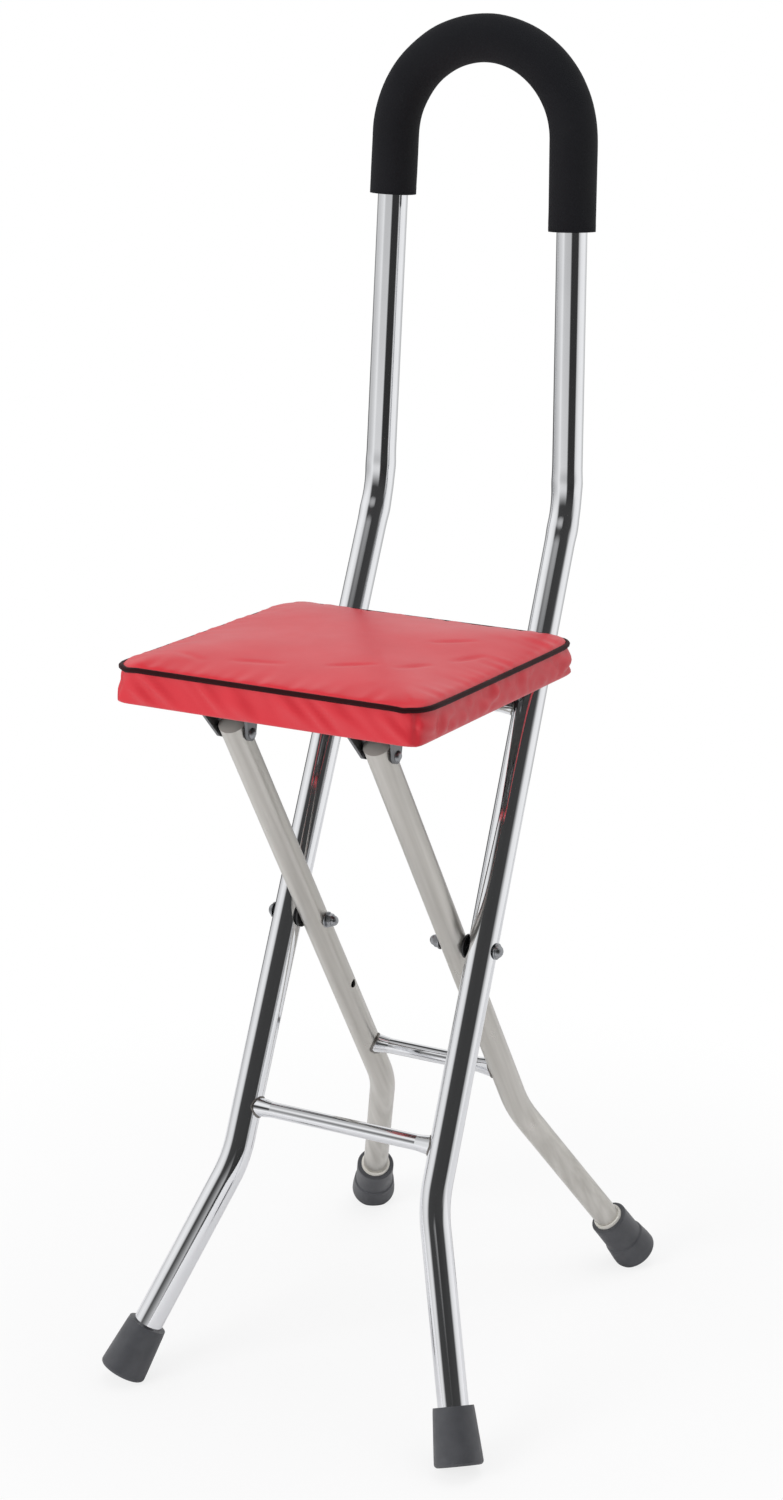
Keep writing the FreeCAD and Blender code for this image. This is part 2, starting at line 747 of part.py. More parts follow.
def make_rest_clip(side):
    """Moulded saddle that reaches back from the board and sits on the rest bar."""
    front, rear = clip_base()
    bar = REST_BAR_IN_SEAT
    reach = REST_BAR_R + CLIP_GAP + CLIP_WALL
    x = side * CLIP_X - CLIP_W / 2
    top = COVER_T
    low = top - CLIP_BASE_T
    outline = [(front, top), (rear, top), (rear, -0.8), (bar.y + reach, -0.8),
               (bar.y + reach, bar.z - 1.0), (bar.y - reach, bar.z - 1.0),
               (bar.y - reach, -16.0), (rear - 22, low), (front, low), (front, top)]
    clip = Part.Face(Part.makePolygon([V(x, y, z) for y, z in outline])).extrude(ACROSS * CLIP_W)
    hollow_r = REST_BAR_R + CLIP_GAP
    clip = clip.cut(cylinder(hollow_r, V(x - 1, bar.y, bar.z), V(x + CLIP_W + 1, bar.y, bar.z)))
    slot = Part.makeBox(CLIP_W + 2, 2 * hollow_r, 40, V(x - 1, bar.y - hollow_r, bar.z - 40))
    slot.rotate(bar, ACROSS, -CLIP_SLOT_TURN)
    clip = clip.cut(slot)
    for point in clip_screw_points():
        clip = clip.cut(Part.makeCylinder(SCREW_R, 40, V(point.x, point.y, -38), UP))
        well = Part.makeCylinder(SCREW_HEAD_R + 0.6, 36, V(point.x, point.y, low - 36), UP)
        clip = clip.cut(well)
    return clip


def main():
    os.makedirs("parts", exist_ok=True)

    save("main_tube", make_main_tube())
    save("handle_grip", make_handle_grip())
    save("front_cross_bar", make_front_cross_bar())
    save("seat_rest_bar", make_seat_rest_bar())
    for name, side in (("left", -1), ("right", 1)):
        save("front_ferrule_" + name, make_front_ferrule(side))
        save("pivot_bolt_" + name, make_pivot_bolt(side))
        save("rear_leg_" + name, make_rear_leg(side))
        save("rear_ferrule_" + name, make_rear_ferrule(side))
        save("hinge_bracket_" + name, in_place(make_bracket(side)))
        save("rest_clip_" + name, in_place(make_rest_clip(side)))
    front_feet = [MAIN_POINTS[side][:2] for side in (-1, 1)]
    save("front_ferrule_discs", make_discs(front_feet, MAIN_TUBE_R))
    rear_feet = [rear_leg_points(side)[2:] for side in (-1, 1)]
    save("rear_ferrule_discs", make_discs(rear_feet, REAR_TUBE_R + SLEEVE_WALL))
    save("rear_ferrule_sleeves", make_rear_sleeves())
    save("pivot_washers", make_pivot_washers())
    save("pivot_spacers", make_pivot_spacers())
    save("pivot_nuts", make_pivot_nuts())
    save("pivot_bushes", make_bushes(0))
    save("rear_cross_bar", make_rear_cross_bar())
    save("leg_top_plugs", make_top_plugs())
    save("hinge_bushes", make_bushes(HINGE_FROM_PIVOT))
    save("seat_board", in_place(make_board()))
    save("seat_foam", in_place(make_foam()))
    save("seat_cover_top", in_place(make_cover_top()))
    save("seat_cover_skirt", in_place(make_cover_skirt()))
    save("seat_piping", in_place(piping_bar(0.0)))
    save("cover_staples", in_place(make_staples()))
    save("bracket_screws", in_place(make_screws(bracket_screw_points(), COVER_T - EAR_T)))
    save("hinge_pins", in_place(make_hinge_pins()))
    save("hinge_spacers", in_place(make_hinge_spacers()))
    save("clip_screws", in_place(make_screws(clip_screw_points(), COVER_T - CLIP_BASE_T)))


main()
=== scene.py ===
"""Looks of the walking stick seat: polished arched frame, satin rear legs, red padded seat.

Lengths are in metres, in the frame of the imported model: +Z up, the floor at Z = 0,
-Y towards the seat's front edge and +X to the right when seen from the front.
"""

import json
import logging
import math
from collections.abc import Callable, Iterable, Sequence
from dataclasses import dataclass, field
from enum import Enum
from typing import Any

import bmesh
import bpy
from mathutils import Matrix, Vector, noise
from mathutils.bvhtree import BVHTree

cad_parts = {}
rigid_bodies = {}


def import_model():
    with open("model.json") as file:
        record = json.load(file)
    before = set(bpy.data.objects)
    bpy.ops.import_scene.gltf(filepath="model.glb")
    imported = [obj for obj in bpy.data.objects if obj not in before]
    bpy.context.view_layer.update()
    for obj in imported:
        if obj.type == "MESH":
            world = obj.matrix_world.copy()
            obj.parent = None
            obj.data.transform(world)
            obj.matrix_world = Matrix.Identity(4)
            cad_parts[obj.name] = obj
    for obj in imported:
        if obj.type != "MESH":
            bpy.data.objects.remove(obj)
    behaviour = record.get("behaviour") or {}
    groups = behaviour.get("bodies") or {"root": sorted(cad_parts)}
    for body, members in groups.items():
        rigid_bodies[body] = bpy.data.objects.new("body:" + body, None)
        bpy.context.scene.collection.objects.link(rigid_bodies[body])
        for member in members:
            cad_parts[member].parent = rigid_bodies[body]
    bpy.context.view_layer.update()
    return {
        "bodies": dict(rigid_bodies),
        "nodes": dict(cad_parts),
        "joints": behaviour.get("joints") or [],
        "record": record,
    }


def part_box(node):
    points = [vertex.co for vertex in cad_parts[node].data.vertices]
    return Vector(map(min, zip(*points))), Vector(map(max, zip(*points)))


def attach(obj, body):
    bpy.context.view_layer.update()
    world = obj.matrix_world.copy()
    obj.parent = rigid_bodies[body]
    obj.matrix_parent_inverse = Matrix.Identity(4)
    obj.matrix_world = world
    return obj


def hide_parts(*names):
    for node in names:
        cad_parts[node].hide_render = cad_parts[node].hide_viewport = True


MM = 0.001
LOG = logging.getLogger("walking_stick_seat")
WHITE = (1.0, 1.0, 1.0, 1.0)
# Lengths below this count as none
NO_LENGTH = 0.001 * MM
# Heights that differ by less than this count as one
ONE_LEVEL = 0.1 * MM
# A face counts as level when its normal's height is more than this
LEVEL_FACING = 0.9
# The rear legs' lean from the vertical, in degrees, and the radius of their tubes
REAR_LEAN = -32.4
REAR_TUBE_R = 9.0 * MM

Node = bpy.types.Node
Tree = bpy.types.NodeTree
Socket = bpy.types.NodeSocket
Material = bpy.types.Material
Piece = bpy.types.Object


class Body(Enum):
    """The three bodies that move against each other."""

    MAIN_FRAME = "main_frame"
    REAR_LEGS = "rear_legs"
    SEAT = "seat"


class Side(Enum):
    """Left and right as seen from the seat's front."""

    LEFT = -1
    RIGHT = 1


# Colour and shader helpers


def linear(hex_code: str) -> tuple[float, float, float, float]:
    """Turn an sRGB hex colour into linear RGBA.

    Args:
        hex_code: Colour as six hex digits, without a hash sign.

    Returns:
        Linear red, green, blue and an alpha of 1.
    """
    channels = [int(hex_code[i : i + 2], 16) / 255 for i in (0, 2, 4)]
    flat = [c / 12.92 if c <= 0.04045 else ((c + 0.055) / 1.055) ** 2.4 for c in channels]
    return flat[0], flat[1], flat[2], 1.0


def add_node(
    tree: Tree,
    kind: str,
    settings: dict[str | int, Any] | None = None,
    links: dict[str | int, Socket] | None = None,
) -> Node:
    """Add one shader node with its settings and incoming links.

    Args:
        tree: Node tree that gets the node.
        kind: Blender's name for the node's type, without its first word ShaderNode.
        settings: Values by socket name or number, or by the node's own property name.
        links: Output sockets to join, by the name or number of the input they feed.

    Returns:
        The new node.
    """
    node = tree.nodes.new("ShaderNode" + kind)
    for key, value in (settings or {}).items():
        if isinstance(key, str) and hasattr(node, key):
            setattr(node, key, value)
    for key, value in (settings or {}).items():
        if isinstance(key, int) or not hasattr(node, key):
            node.inputs[key].default_value = value
    for key, source in (links or {}).items():
        tree.links.new(source, node.inputs[key])
    return node


def blended(tree: Tree, share: Socket, first: str, second: str) -> Socket:
    """Blend two hex colours.

    Args:
        tree: Node tree that gets the blend.
        share: How much of the second colour shows.
        first: Colour at a share of 0.
        second: Colour at a share of 1.

    Returns:
        The blended colour.
    """
    blend = add_node(tree, "Mix", {"data_type": "RGBA", 6: linear(first), 7: linear(second)}, {0: share})
    return blend.outputs[2]


def grey_ramp(tree: Tree, value: Socket, stops: Iterable[tuple[float, float]]) -> Socket:
    """Turn a value between -1 and 1 into a grey.

    Args:
        tree: Node tree that gets the ramp.
        value: The value.
        stops: Values with the greys that they give, in any order.

    Returns:
        The grey.
    """
    share = add_node(tree, "Math", {"operation": "MULTIPLY_ADD", 1: 0.5, 2: 0.5}, {0: value})
    ramp = add_node(tree, "ValToRGB", links={"Fac": share.outputs[0]})
    elements = ramp.color_ramp.elements
    ordered = sorted(((1 + place) / 2, grey) for place, grey in stops)
    for end, (position, grey) in enumerate((ordered[0], ordered[-1])):
        elements[end].position = position
        elements[end].color = (grey, grey, grey, 1.0)
    for position, grey in ordered[1:-1]:
        elements.new(position).color = (grey, grey, grey, 1.0)
    return ramp.outputs["Color"]


def camera_rays(tree: Tree) -> Socket:
    """Tell the camera's own rays, also through glass, from those that light and reflect.

    Args:
        tree: Node tree that gets the test.

    Returns:
        1 for the camera's rays and 0 for the others.
    """
    rays = add_node(tree, "LightPath")
    either = add_node(
        tree,
        "Math",
        {"operation": "MAXIMUM"},
        {0: rays.outputs["Is Camera Ray"], 1: rays.outputs["Is Transmission Ray"]},
    )
    return either.outputs[0]


@dataclass(frozen=True)
class Finish:
    """One surface finish: a base colour with a slow drift, a varied roughness and a fine relief."""

    name: str
    colour: str
    drift_colour: str
    roughness: float
    roughness_spread: float
    drift_mm: float
    grain_mm: float
    relief_mm: float
    metallic: float = 0.0
    ior: float | None = None

    def grain(self, tree: Tree, place: Socket) -> Socket:
        """Draw the fine relief, in most finishes a plain grit.

        Args:
            tree: The material's node tree.
            place: Place on the object.

        Returns:
            The relief's height.
        """
        grit = add_node(
            tree,
            "TexNoise",
            {"Scale": 1 / (self.grain_mm * MM), "Detail": 3.0, "Roughness": 0.6},
            {"Vector": place},
        )
        return grit.outputs["Fac"]

    def colour_socket(self, tree: Tree, place: Socket) -> Socket:
        """Let the base colour drift slowly between the finish's two colours.

        Args:
            tree: The material's node tree.
            place: Place on the object.

        Returns:
            The base colour.
        """
        drift = add_node(
            tree, "TexNoise", {"Scale": 1 / (self.drift_mm * MM), "Detail": 2.0}, {"Vector": place}
        )
        return blended(tree, drift.outputs["Fac"], self.colour, self.drift_colour)

    def material(self) -> Material:
        """Build the finish as a material.

        Returns:
            A node material named for the finish.
        """
        made = bpy.data.materials.new(self.name)
        made.use_nodes = True
        tree = made.node_tree
        tree.nodes.clear()
        place = add_node(tree, "TexCoord").outputs["Object"]
        height = self.grain(tree, place)
        wear = add_node(
            tree,
            "TexNoise",
            {"Scale": 0.4 / (self.drift_mm * MM), "Detail": 4.0, "Roughness": 0.65},
            {"Vector": place},
        )
        rough = add_node(
            tree,
            "MapRange",
            {
                "From Min": 0.3,
                "From Max": 0.7,
                "To Min": self.roughness - self.roughness_spread,
                "To Max": self.roughness + self.roughness_spread,
            },
            {"Value": wear.outputs["Fac"]},
        )
        relief = add_node(
            tree, "Bump", {"Strength": 1.0, "Distance": self.relief_mm * MM}, {"Height": height}
        )
        skin = add_node(
            tree,
            "BsdfPrincipled",
            {"Metallic": self.metallic},
            {
                "Base Color": self.colour_socket(tree, place),
                "Roughness": rough.outputs["Result"],
                "Normal": relief.outputs["Normal"],
            },
        )
        if self.ior is not None:
            skin.inputs["IOR"].default_value = self.ior
        add_node(tree, "OutputMaterial", links={"Surface": skin.outputs["BSDF"]})
        return made

    def dress(self, piece: Piece) -> None:
        """Give a piece this finish all over, and make its material on first use.

        Args:
            piece: The piece.
        """
        made = bpy.data.materials.get(self.name) or self.material()
        piece.data.materials.clear()
        piece.data.materials.append(made)


class Cells(Enum):
    """Forms of small cells, by the names that Blender gives them."""

    ROUNDED = "SMOOTH_F1"
    SHARP = "F1"


@dataclass(frozen=True)
class CellFinish(Finish):
    """A relief of small cells: the pebbles of a leather emboss, or the burst cells of foam."""

    cells: Cells = Cells.ROUNDED
    smoothness: float = 0.6

    def grain(self, tree: Tree, place: Socket) -> Socket:
        """Draw the cells.

        Args:
            tree: The material's node tree.
            place: Place on the object.

        Returns:
            The relief's height.
        """
        pattern = add_node(
            tree,
            "TexVoronoi",
            {"feature": self.cells.value, "Scale": 1 / (self.grain_mm * MM)},
            {"Vector": place},
        )
        if self.cells is Cells.ROUNDED:
            pattern.inputs["Smoothness"].default_value = self.smoothness
        return pattern.outputs["Distance"]


@dataclass(frozen=True)
class DrawnTube(Finish):
    """Drawn tube: long streaks that the die leaves along the rear legs' lean."""

    lean: float = REAR_LEAN
    stretch: float = 0.03

    def colour_socket(self, tree: Tree, place: Socket) -> Socket:
        """Stretch the drift of the colour into streaks.

        Args:
            tree: The material's node tree.
            place: Place on the object.

        Returns:
            The base colour.
        """
        along = add_node(
            tree, "Mapping", {"Rotation": (math.radians(self.lean), 0.0, 0.0)}, {"Vector": place}
        )
        flat = add_node(
            tree, "Mapping", {"Scale": (1.0, 1.0, self.stretch)}, {"Vector": along.outputs[0]}
        )
        return super().colour_socket(tree, flat.outputs[0])


@dataclass(frozen=True)
class WoodGrain(Finish):
    """Rotary-cut veneer: long wavy growth lines that run across the seat."""

    line_mm: float = 32.0

    def colour_socket(self, tree: Tree, place: Socket) -> Socket:
        """Draw the growth lines.

        Args:
            tree: The material's node tree.
            place: Place on the object.

        Returns:
            The base colour.
        """
        lines = add_node(
            tree,
            "TexWave",
            {
                "bands_direction": "Y",
                "Scale": 1 / (self.line_mm * MM),
                "Distortion": 7.0,
                "Detail": 3.0,
                "Detail Scale": 0.6,
            },
            {"Vector": place},
        )
        return blended(tree, lines.outputs["Fac"], self.colour, self.drift_colour)


# Aluminium tube, drawn and buffed bright: a clear mirror with faint buffing haze
BRIGHT_ALUMINIUM = Finish(
    "bright_drawn_aluminium", "EDEEF0", "E4E5E8", 0.07, 0.02, 30, 1.2, 0.0006, metallic=1.0
)
# Aluminium tube, etched before anodising: a soft grey-beige gleam with faint streaks along the tube
ETCHED_ALUMINIUM = DrawnTube(
    "etched_anodised_aluminium", "DCD9D4", "A9A69F", 0.32, 0.05, 5, 0.7, 0.008, metallic=0.8
)
# Zinc-plated steel of bolts, washers and screws: bluish and slightly cloudy
ZINC_STEEL = Finish("zinc_plated_steel", "A6A8AB", "8F9194", 0.34, 0.07, 4, 0.4, 0.004, metallic=1.0)
# Electric weld bead, wire-brushed and darkened by heat
WELD_METAL = Finish("brushed_weld_bead", "8C8985", "6E6A66", 0.42, 0.1, 3, 0.8, 0.06, metallic=1.0)
# Moulded grey rubber ferrules, with a dull bloom
FERRULE_RUBBER = Finish("moulded_grey_rubber", "4B4C50", "3D3E42", 0.44, 0.1, 7, 0.6, 0.02, ior=1.52)
# Sleeve of black closed-cell foam rubber, its cells drawn at 0.9 mm so that they show
GRIP_FOAM = CellFinish(
    "closed_cell_foam", "15161A", "101115", 0.86, 0.05, 25, 0.9, 0.12, ior=1.4, cells=Cells.SHARP
)
# Knitted-back PVC vinyl with a leather emboss: a satin skin that pales where it is seen edge-on
RED_VINYL = CellFinish("embossed_red_vinyl", "D62433", "CA202E", 0.40, 0.05, 35, 0.9, 0.035, ior=1.62)
# Vinyl-covered piping cord, smooth and near black
PIPING_VINYL = Finish("smooth_black_vinyl", "2E080D", "240609", 0.56, 0.05, 10, 0.6, 0.01, ior=1.25)
# Injection-moulded nylon of bushes, spacers, plugs and clips
BLACK_NYLON = Finish("moulded_black_nylon", "1B1B1C", "151516", 0.48, 0.05, 8, 0.35, 0.012, ior=1.53)
# Grey nylon of the plugs in the legs' upper ends, close to the tubes' own grey
GREY_NYLON = Finish("moulded_grey_nylon", "A9A7A2", "9C9A95", 0.44, 0.05, 8, 0.35, 0.012, ior=1.53)
# Natural nylon of the ferrules' sleeves, a milky white
WHITE_NYLON = Finish("natural_white_nylon", "E4E2DC", "D9D6CE", 0.42, 0.05, 8, 0.4, 0.01, ior=1.53)
# Pressed steel sheet, zinc-plated and passivated: a dull grey that takes on the dark of the underside
PRESSED_STEEL = Finish("pressed_grey_steel", "7E7F81", "6A6B6D", 0.36, 0.06, 6, 1.2, 0.01, metallic=1.0)
# Birch plywood of the seat board, coloured near black all over: its underside is the dark that the tubes
# below the seat reflect
NEAR_BLACK_PLY = WoodGrain("black_stained_plywood", "2A2724", "1D1B19", 0.62, 0.06, 40, 1.6, 0.03, ior=1.5)

NODE_FINISHES: dict[Finish, tuple[str, ...]] = {
    BRIGHT_ALUMINIUM: ("main_tube", "front_cross_bar", "seat_rest_bar", "rear_cross_bar"),
    ETCHED_ALUMINIUM: ("rear_leg_left", "rear_leg_right"),
    ZINC_STEEL: (
        "pivot_bolt_left", "pivot_bolt_right", "pivot_washers", "pivot_nuts", "hinge_pins",
        "bracket_screws", "clip_screws", "cover_staples",
        "front_ferrule_discs", "rear_ferrule_discs",
    ),
    FERRULE_RUBBER: (
        "front_ferrule_left", "front_ferrule_right", "rear_ferrule_left", "rear_ferrule_right"
    ),
    BLACK_NYLON: (
        "pivot_spacers", "pivot_bushes", "hinge_bushes", "hinge_spacers",
        "rest_clip_left", "rest_clip_right",
    ),
    WHITE_NYLON: ("rear_ferrule_sleeves",),
    GREY_NYLON: ("leg_top_plugs",),
    PRESSED_STEEL: ("hinge_bracket_left", "hinge_bracket_right"),
    NEAR_BLACK_PLY: ("seat_board",),
}


# Modelling helpers


def clear_selection() -> None:
    """Leave edit mode and deselect everything."""
    if bpy.context.object is not None and bpy.context.object.mode != "OBJECT":
        bpy.ops.object.mode_set(mode="OBJECT")
    bpy.ops.object.select_all(action="DESELECT")


def select_only(*pieces: Piece) -> None:
    """Select some pieces and nothing else, with the first one active.

    Args:
        *pieces: The pieces.
    """
    clear_selection()
    for piece in pieces:
        piece.select_set(True)
    bpy.context.view_layer.objects.active = pieces[0]


def take_new_piece(name: str) -> Piece:
    """Name the primitive that was just added and settle its place into its mesh.

    Args:
        name: Name of the piece.

    Returns:
        The piece, active, with its object at the origin.
    """
    piece = bpy.context.object
    piece.name = name
    piece.data.name = name
    bpy.ops.object.transform_apply(location=True, rotation=True, scale=True)
    return piece


def pick(piece: Piece, kind: str, test: Callable[[Any], bool]) -> None:
    """Select mesh elements in edit mode by a test of their place or normal.

    Args:
        piece: The piece in edit mode.
        kind: "verts", "edges" or "faces".
        test: Says whether an element is picked.
    """
    bpy.ops.mesh.select_mode(type={"verts": "VERT", "edges": "EDGE", "faces": "FACE"}[kind])
    bpy.ops.mesh.select_all(action="DESELECT")
    mesh = bmesh.from_edit_mesh(piece.data)
    for element in getattr(mesh, kind):
        if test(element):
            element.select_set(True)
    mesh.select_flush_mode()
    bmesh.update_edit_mesh(piece.data)


def apply_modifier(piece: Piece, kind: str, **settings: Any) -> None:
    """Add a modifier with its settings and apply it.

    Args:
        piece: The piece that it shapes.
        kind: Blender's name for the modifier's type.
        **settings: The modifier's properties.
    """
    select_only(piece)
    modifier = piece.modifiers.new(kind.lower(), kind)
    for key, value in settings.items():
        setattr(modifier, key, value)
    bpy.ops.object.modifier_apply(modifier=modifier.name)


def smooth_shading(piece: Piece, angle: float = 40.0) -> None:
    """Shade a piece smooth across edges flatter than an angle in degrees."""
    select_only(piece)
    bpy.ops.object.shade_smooth_by_angle(angle=math.radians(angle), keep_sharp_edges=True)


def lean_dir(degrees: float) -> Vector:
    """Return the unit vector that rises and leans back by an angle from the vertical."""
    return Vector((0.0, math.sin(math.radians(degrees)), math.cos(math.radians(degrees))))


def mixed(low: float, high: float, share: float) -> float:
    """Return the value at a share of the way from low to high."""
    return low + (high - low) * share


@dataclass(frozen=True)
class Bend:
    """One corner of a bent tube's centre line."""

    corner: Vector
    radius: float


@dataclass(frozen=True)
class TubePath:
    """Centre line of a bent tube: straight runs joined by arcs."""

    start: Vector
    bends: tuple[Bend, ...]
    end: Vector
    slices: int = 10
    slice_length: float = 1.2 * MM
    shortest_sliced: float = 30.0 * MM

    def draw(self, name: str, radius: float, around: int, step: float) -> Piece:
        """Sweep a ring along the centre line by extruding the runs and spinning the bends.

        Args:
            name: Name of the tube.
            radius: Outer radius of the tube.
            around: Corners of the ring.
            step: Largest turn of one slice of a bend, in radians.

        Returns:
            The open tube, left in edit mode with its last ring selected.
        """
        corners = [self.start, *[bend.corner for bend in self.bends], self.end]
        heading = (corners[1] - corners[0]).normalized()
        clear_selection()
        bpy.ops.mesh.primitive_circle_add(
            vertices=around,
            radius=radius,
            location=self.start,
            rotation=heading.to_track_quat("Z", "Y").to_euler(),
        )
        tube = take_new_piece(name)
        bpy.ops.object.mode_set(mode="EDIT")
        at = self.start
        for index, bend in enumerate(self.bends, start=1):
            back = (corners[index - 1] - corners[index]).normalized()
            ahead = (corners[index + 1] - corners[index]).normalized()
            half = back.angle(ahead) / 2
            enter = bend.corner + back * (bend.radius / math.tan(half))
            centre = bend.corner + (back + ahead).normalized() * (bend.radius / math.sin(half))
            turn = math.pi - 2 * half
            self.run(enter - at)
            # A spin turns clockwise as seen from the tip of its axis
            axis = ahead.cross(-back).normalized()
            steps = max(2, math.ceil(turn / step))
            bpy.ops.mesh.spin(steps=steps, angle=turn, center=centre, axis=axis)
            at = bend.corner + ahead * (bend.radius / math.tan(half))
        self.run(self.end - at)
        return tube

    def run(self, by: Vector) -> None:
        """Extrude the selected ring along a straight run, with short slices next to its ends.

        Args:
            by: The run, from the ring to its far end.
        """
        if by.length < NO_LENGTH:
            return
        steps = [self.slice_length] * self.slices if by.length > self.shortest_sliced else []
        lengths = [*steps, by.length - 2 * sum(steps), *steps]
        for length in lengths:
            bpy.ops.mesh.extrude_region_move(TRANSFORM_OT_translate={"value": by.normalized() * length})


# The handle frame


@dataclass
class HandleFrame:
    """The bent polished tube with the arched handle, and the foam sleeve on it."""

    pivot: Vector
    tube_r: float = 10.0 * MM
    lean: float = 24.9
    post_lean: float = 3.1
    half_at_bend: float = 70.0 * MM
    half_at_lower_bend: float = 74.3 * MM
    half_at_top: float = 63.0 * MM
    upper_bend: float = 296.6 * MM
    lower_bend: float = 168.0 * MM
    upper_bend_r: float = 80.0 * MM
    lower_bend_r: float = 90.0 * MM
    top_z: float = 865.3 * MM
    splay: float = 18.7
    tube_end_z: float = 14.0 * MM
    grip_r: float = 15.4 * MM
    grip_bore: float = 10.05 * MM
    grip_edge: float = 1.6 * MM
    grip_left_z: float = 764.0 * MM
    grip_right_z: float = 746.0 * MM
    grip_round: float = 1.28 * MM
    rim_slack: float = 0.3 * MM
    knead_depth: float = 0.25 * MM
    knead_span: float = 18.0 * MM
    tube_sides: int = 64
    tube_step: float = 1.2
    grip_sides: int = 48
    grip_step: float = 3.0
    mark_height: float = 0.35 * MM
    mark_width: float = 6.0 * MM
    mark_reach: float = 40.0 * MM

    def point(self, from_pivot: float, side: Side) -> Vector:
        """Find a point of a front leg's centre line.

        Args:
            from_pivot: Distance above the pivot, along the leg.
            side: Which of the two legs.

        Returns:
            The point.
        """
        share = (from_pivot + self.lower_bend) / (self.upper_bend + self.lower_bend)
        half = mixed(self.half_at_lower_bend, self.half_at_bend, share)
        return self.pivot + lean_dir(self.lean) * from_pivot + Vector((side.value * half, 0, 0))

    def top(self, side: Side) -> Vector:
        """Find the corner that a post's line makes with the handle's level top.

        Args:
            side: Which of the two posts.

        Returns:
            The corner.
        """
        upper = self.point(self.upper_bend, side)
        back = (self.top_z - upper.z) * math.tan(math.radians(self.post_lean))
        return Vector((side.value * self.half_at_top, upper.y + back, self.top_z))

    def foot(self, side: Side) -> Vector:
        """Find the end of a front leg inside its ferrule.

        Args:
            side: Which of the two legs.

        Returns:
            The end of the centre line.
        """
        lower = self.point(-self.lower_bend, side)
        splay = math.radians(self.splay)
        down = lean_dir(self.lean) * -math.cos(splay) + Vector((side.value * math.sin(splay), 0, 0))
        return lower + down * ((lower.z - self.tube_end_z) / -down.z)

    def arch_radius(self) -> float:
        """Return the radius of the arch, which fills the width between the posts."""
        upper, top = self.point(self.upper_bend, Side.RIGHT), self.top(Side.RIGHT)
        return self.half_at_top * math.tan((upper - top).angle(Vector((-1, 0, 0))) / 2)

    def post_point(self, side: Side, height: float) -> Vector:
        """Return the point of a post's centre line at a height."""
        upper, top = self.point(self.upper_bend, side), self.top(side)
        return upper.lerp(top, (height - upper.z) / (top.z - upper.z))

    def bends(self, side: Side) -> list[Bend]:
        """List the bends of one side, from the lowest up to its half of the arch."""
        return [
            Bend(self.point(-self.lower_bend, side), self.lower_bend_r),
            Bend(self.point(self.upper_bend, side), self.upper_bend_r),
            Bend(self.top(side), self.arch_radius()),
        ]

    def build_tube(self) -> Piece:
        """Model the bent tube with the small press marks of its upper bends.

        Returns:
            The tube.
        """
        bends = (*self.bends(Side.LEFT), *reversed(self.bends(Side.RIGHT)))
        path = TubePath(self.foot(Side.LEFT), bends, self.foot(Side.RIGHT))
        step = math.radians(self.tube_step)
        tube = path.draw("bent_handle_tube", self.tube_r, self.tube_sides, step)
        pick(tube, "edges", lambda edge: edge.is_boundary)
        bpy.ops.mesh.edge_face_add()
        bpy.ops.object.mode_set(mode="OBJECT")
        tidy_shell(tube)
        self.press_marks(tube)
        smooth_shading(tube)
        BRIGHT_ALUMINIUM.dress(tube)
        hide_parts("main_tube")
        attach(tube, Body.MAIN_FRAME.value)
        return tube

    def press_marks(self, tube: Piece) -> None:
        """Swell the tube slightly where the bending press held it, at both ends of each upper bend.

        Args:
            tube: The bent tube.
        """
        half_turn = math.radians(self.lean - self.post_lean) / 2
        reach = self.upper_bend_r * math.tan(half_turn)
        for side in Side:
            corner = self.point(self.upper_bend, side)
            for lean, way in ((self.lean, -1), (self.post_lean, 1)):
                along = lean_dir(lean)
                mark = corner + along * (way * reach)
                for vert in tube.data.vertices:
                    offset = vert.co - mark
                    if offset.length > self.mark_reach:
                        continue
                    ahead = offset.dot(along)
                    out = (offset - along * ahead).normalized()
                    vert.co += out * (self.mark_height * math.exp(-((ahead / self.mark_width) ** 2)))

    def build_grip(self) -> Piece:
        """Model the foam sleeve, drawn over the arch as one piece with open, rounded ends.

        Returns:
            The sleeve.
        """
        arch = self.arch_radius()
        path = TubePath(
            self.post_point(Side.LEFT, self.grip_left_z),
            (Bend(self.top(Side.LEFT), arch), Bend(self.top(Side.RIGHT), arch)),
            self.post_point(Side.RIGHT, self.grip_right_z),
        )
        grip = path.draw("foam_grip", self.grip_r, self.grip_sides, math.radians(self.grip_step))
        ends = (path.start, path.end)
        pick(grip, "edges", lambda edge: edge.is_boundary)
        bpy.ops.mesh.edge_face_add()
        pick(grip, "faces", lambda face: len(face.verts) > 4)
        bpy.ops.mesh.inset(thickness=self.grip_edge, depth=0.0, use_individual=True)
        bpy.ops.mesh.inset(thickness=self.grip_r - self.grip_edge - self.grip_bore, use_individual=True)
        bpy.ops.mesh.delete(type="FACE")
        pick(grip, "edges", lambda edge: self.on_rim(edge, ends))
        bpy.ops.mesh.bevel(offset=self.grip_round, segments=3, profile=0.5, affect="EDGES")
        bpy.ops.object.mode_set(mode="OBJECT")
        tidy_shell(grip)
        self.knead(grip)
        smooth_shading(grip, angle=50.0)
        GRIP_FOAM.dress(grip)
        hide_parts("handle_grip")
        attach(grip, Body.MAIN_FRAME.value)
        return grip

    def on_rim(self, edge: bmesh.types.BMEdge, ends: Sequence[Vector]) -> bool:
        """Say whether an edge lies on the outer rim of one of the sleeve's ends."""
        gaps = [[abs((vert.co - end).length - self.grip_r) for vert in edge.verts] for end in ends]
        return any(max(gap) < self.rim_slack for gap in gaps)

    def knead(self, grip: Piece) -> None:
        """Give the foam the slight unevenness of a soft sleeve on a bent tube.

        Args:
            grip: The sleeve.
        """
        normals = [vert.normal.copy() for vert in grip.data.vertices]
        for vert, normal in zip(grip.data.vertices, normals):
            vert.co += normal * (self.knead_depth * noise.noise(vert.co / self.knead_span))


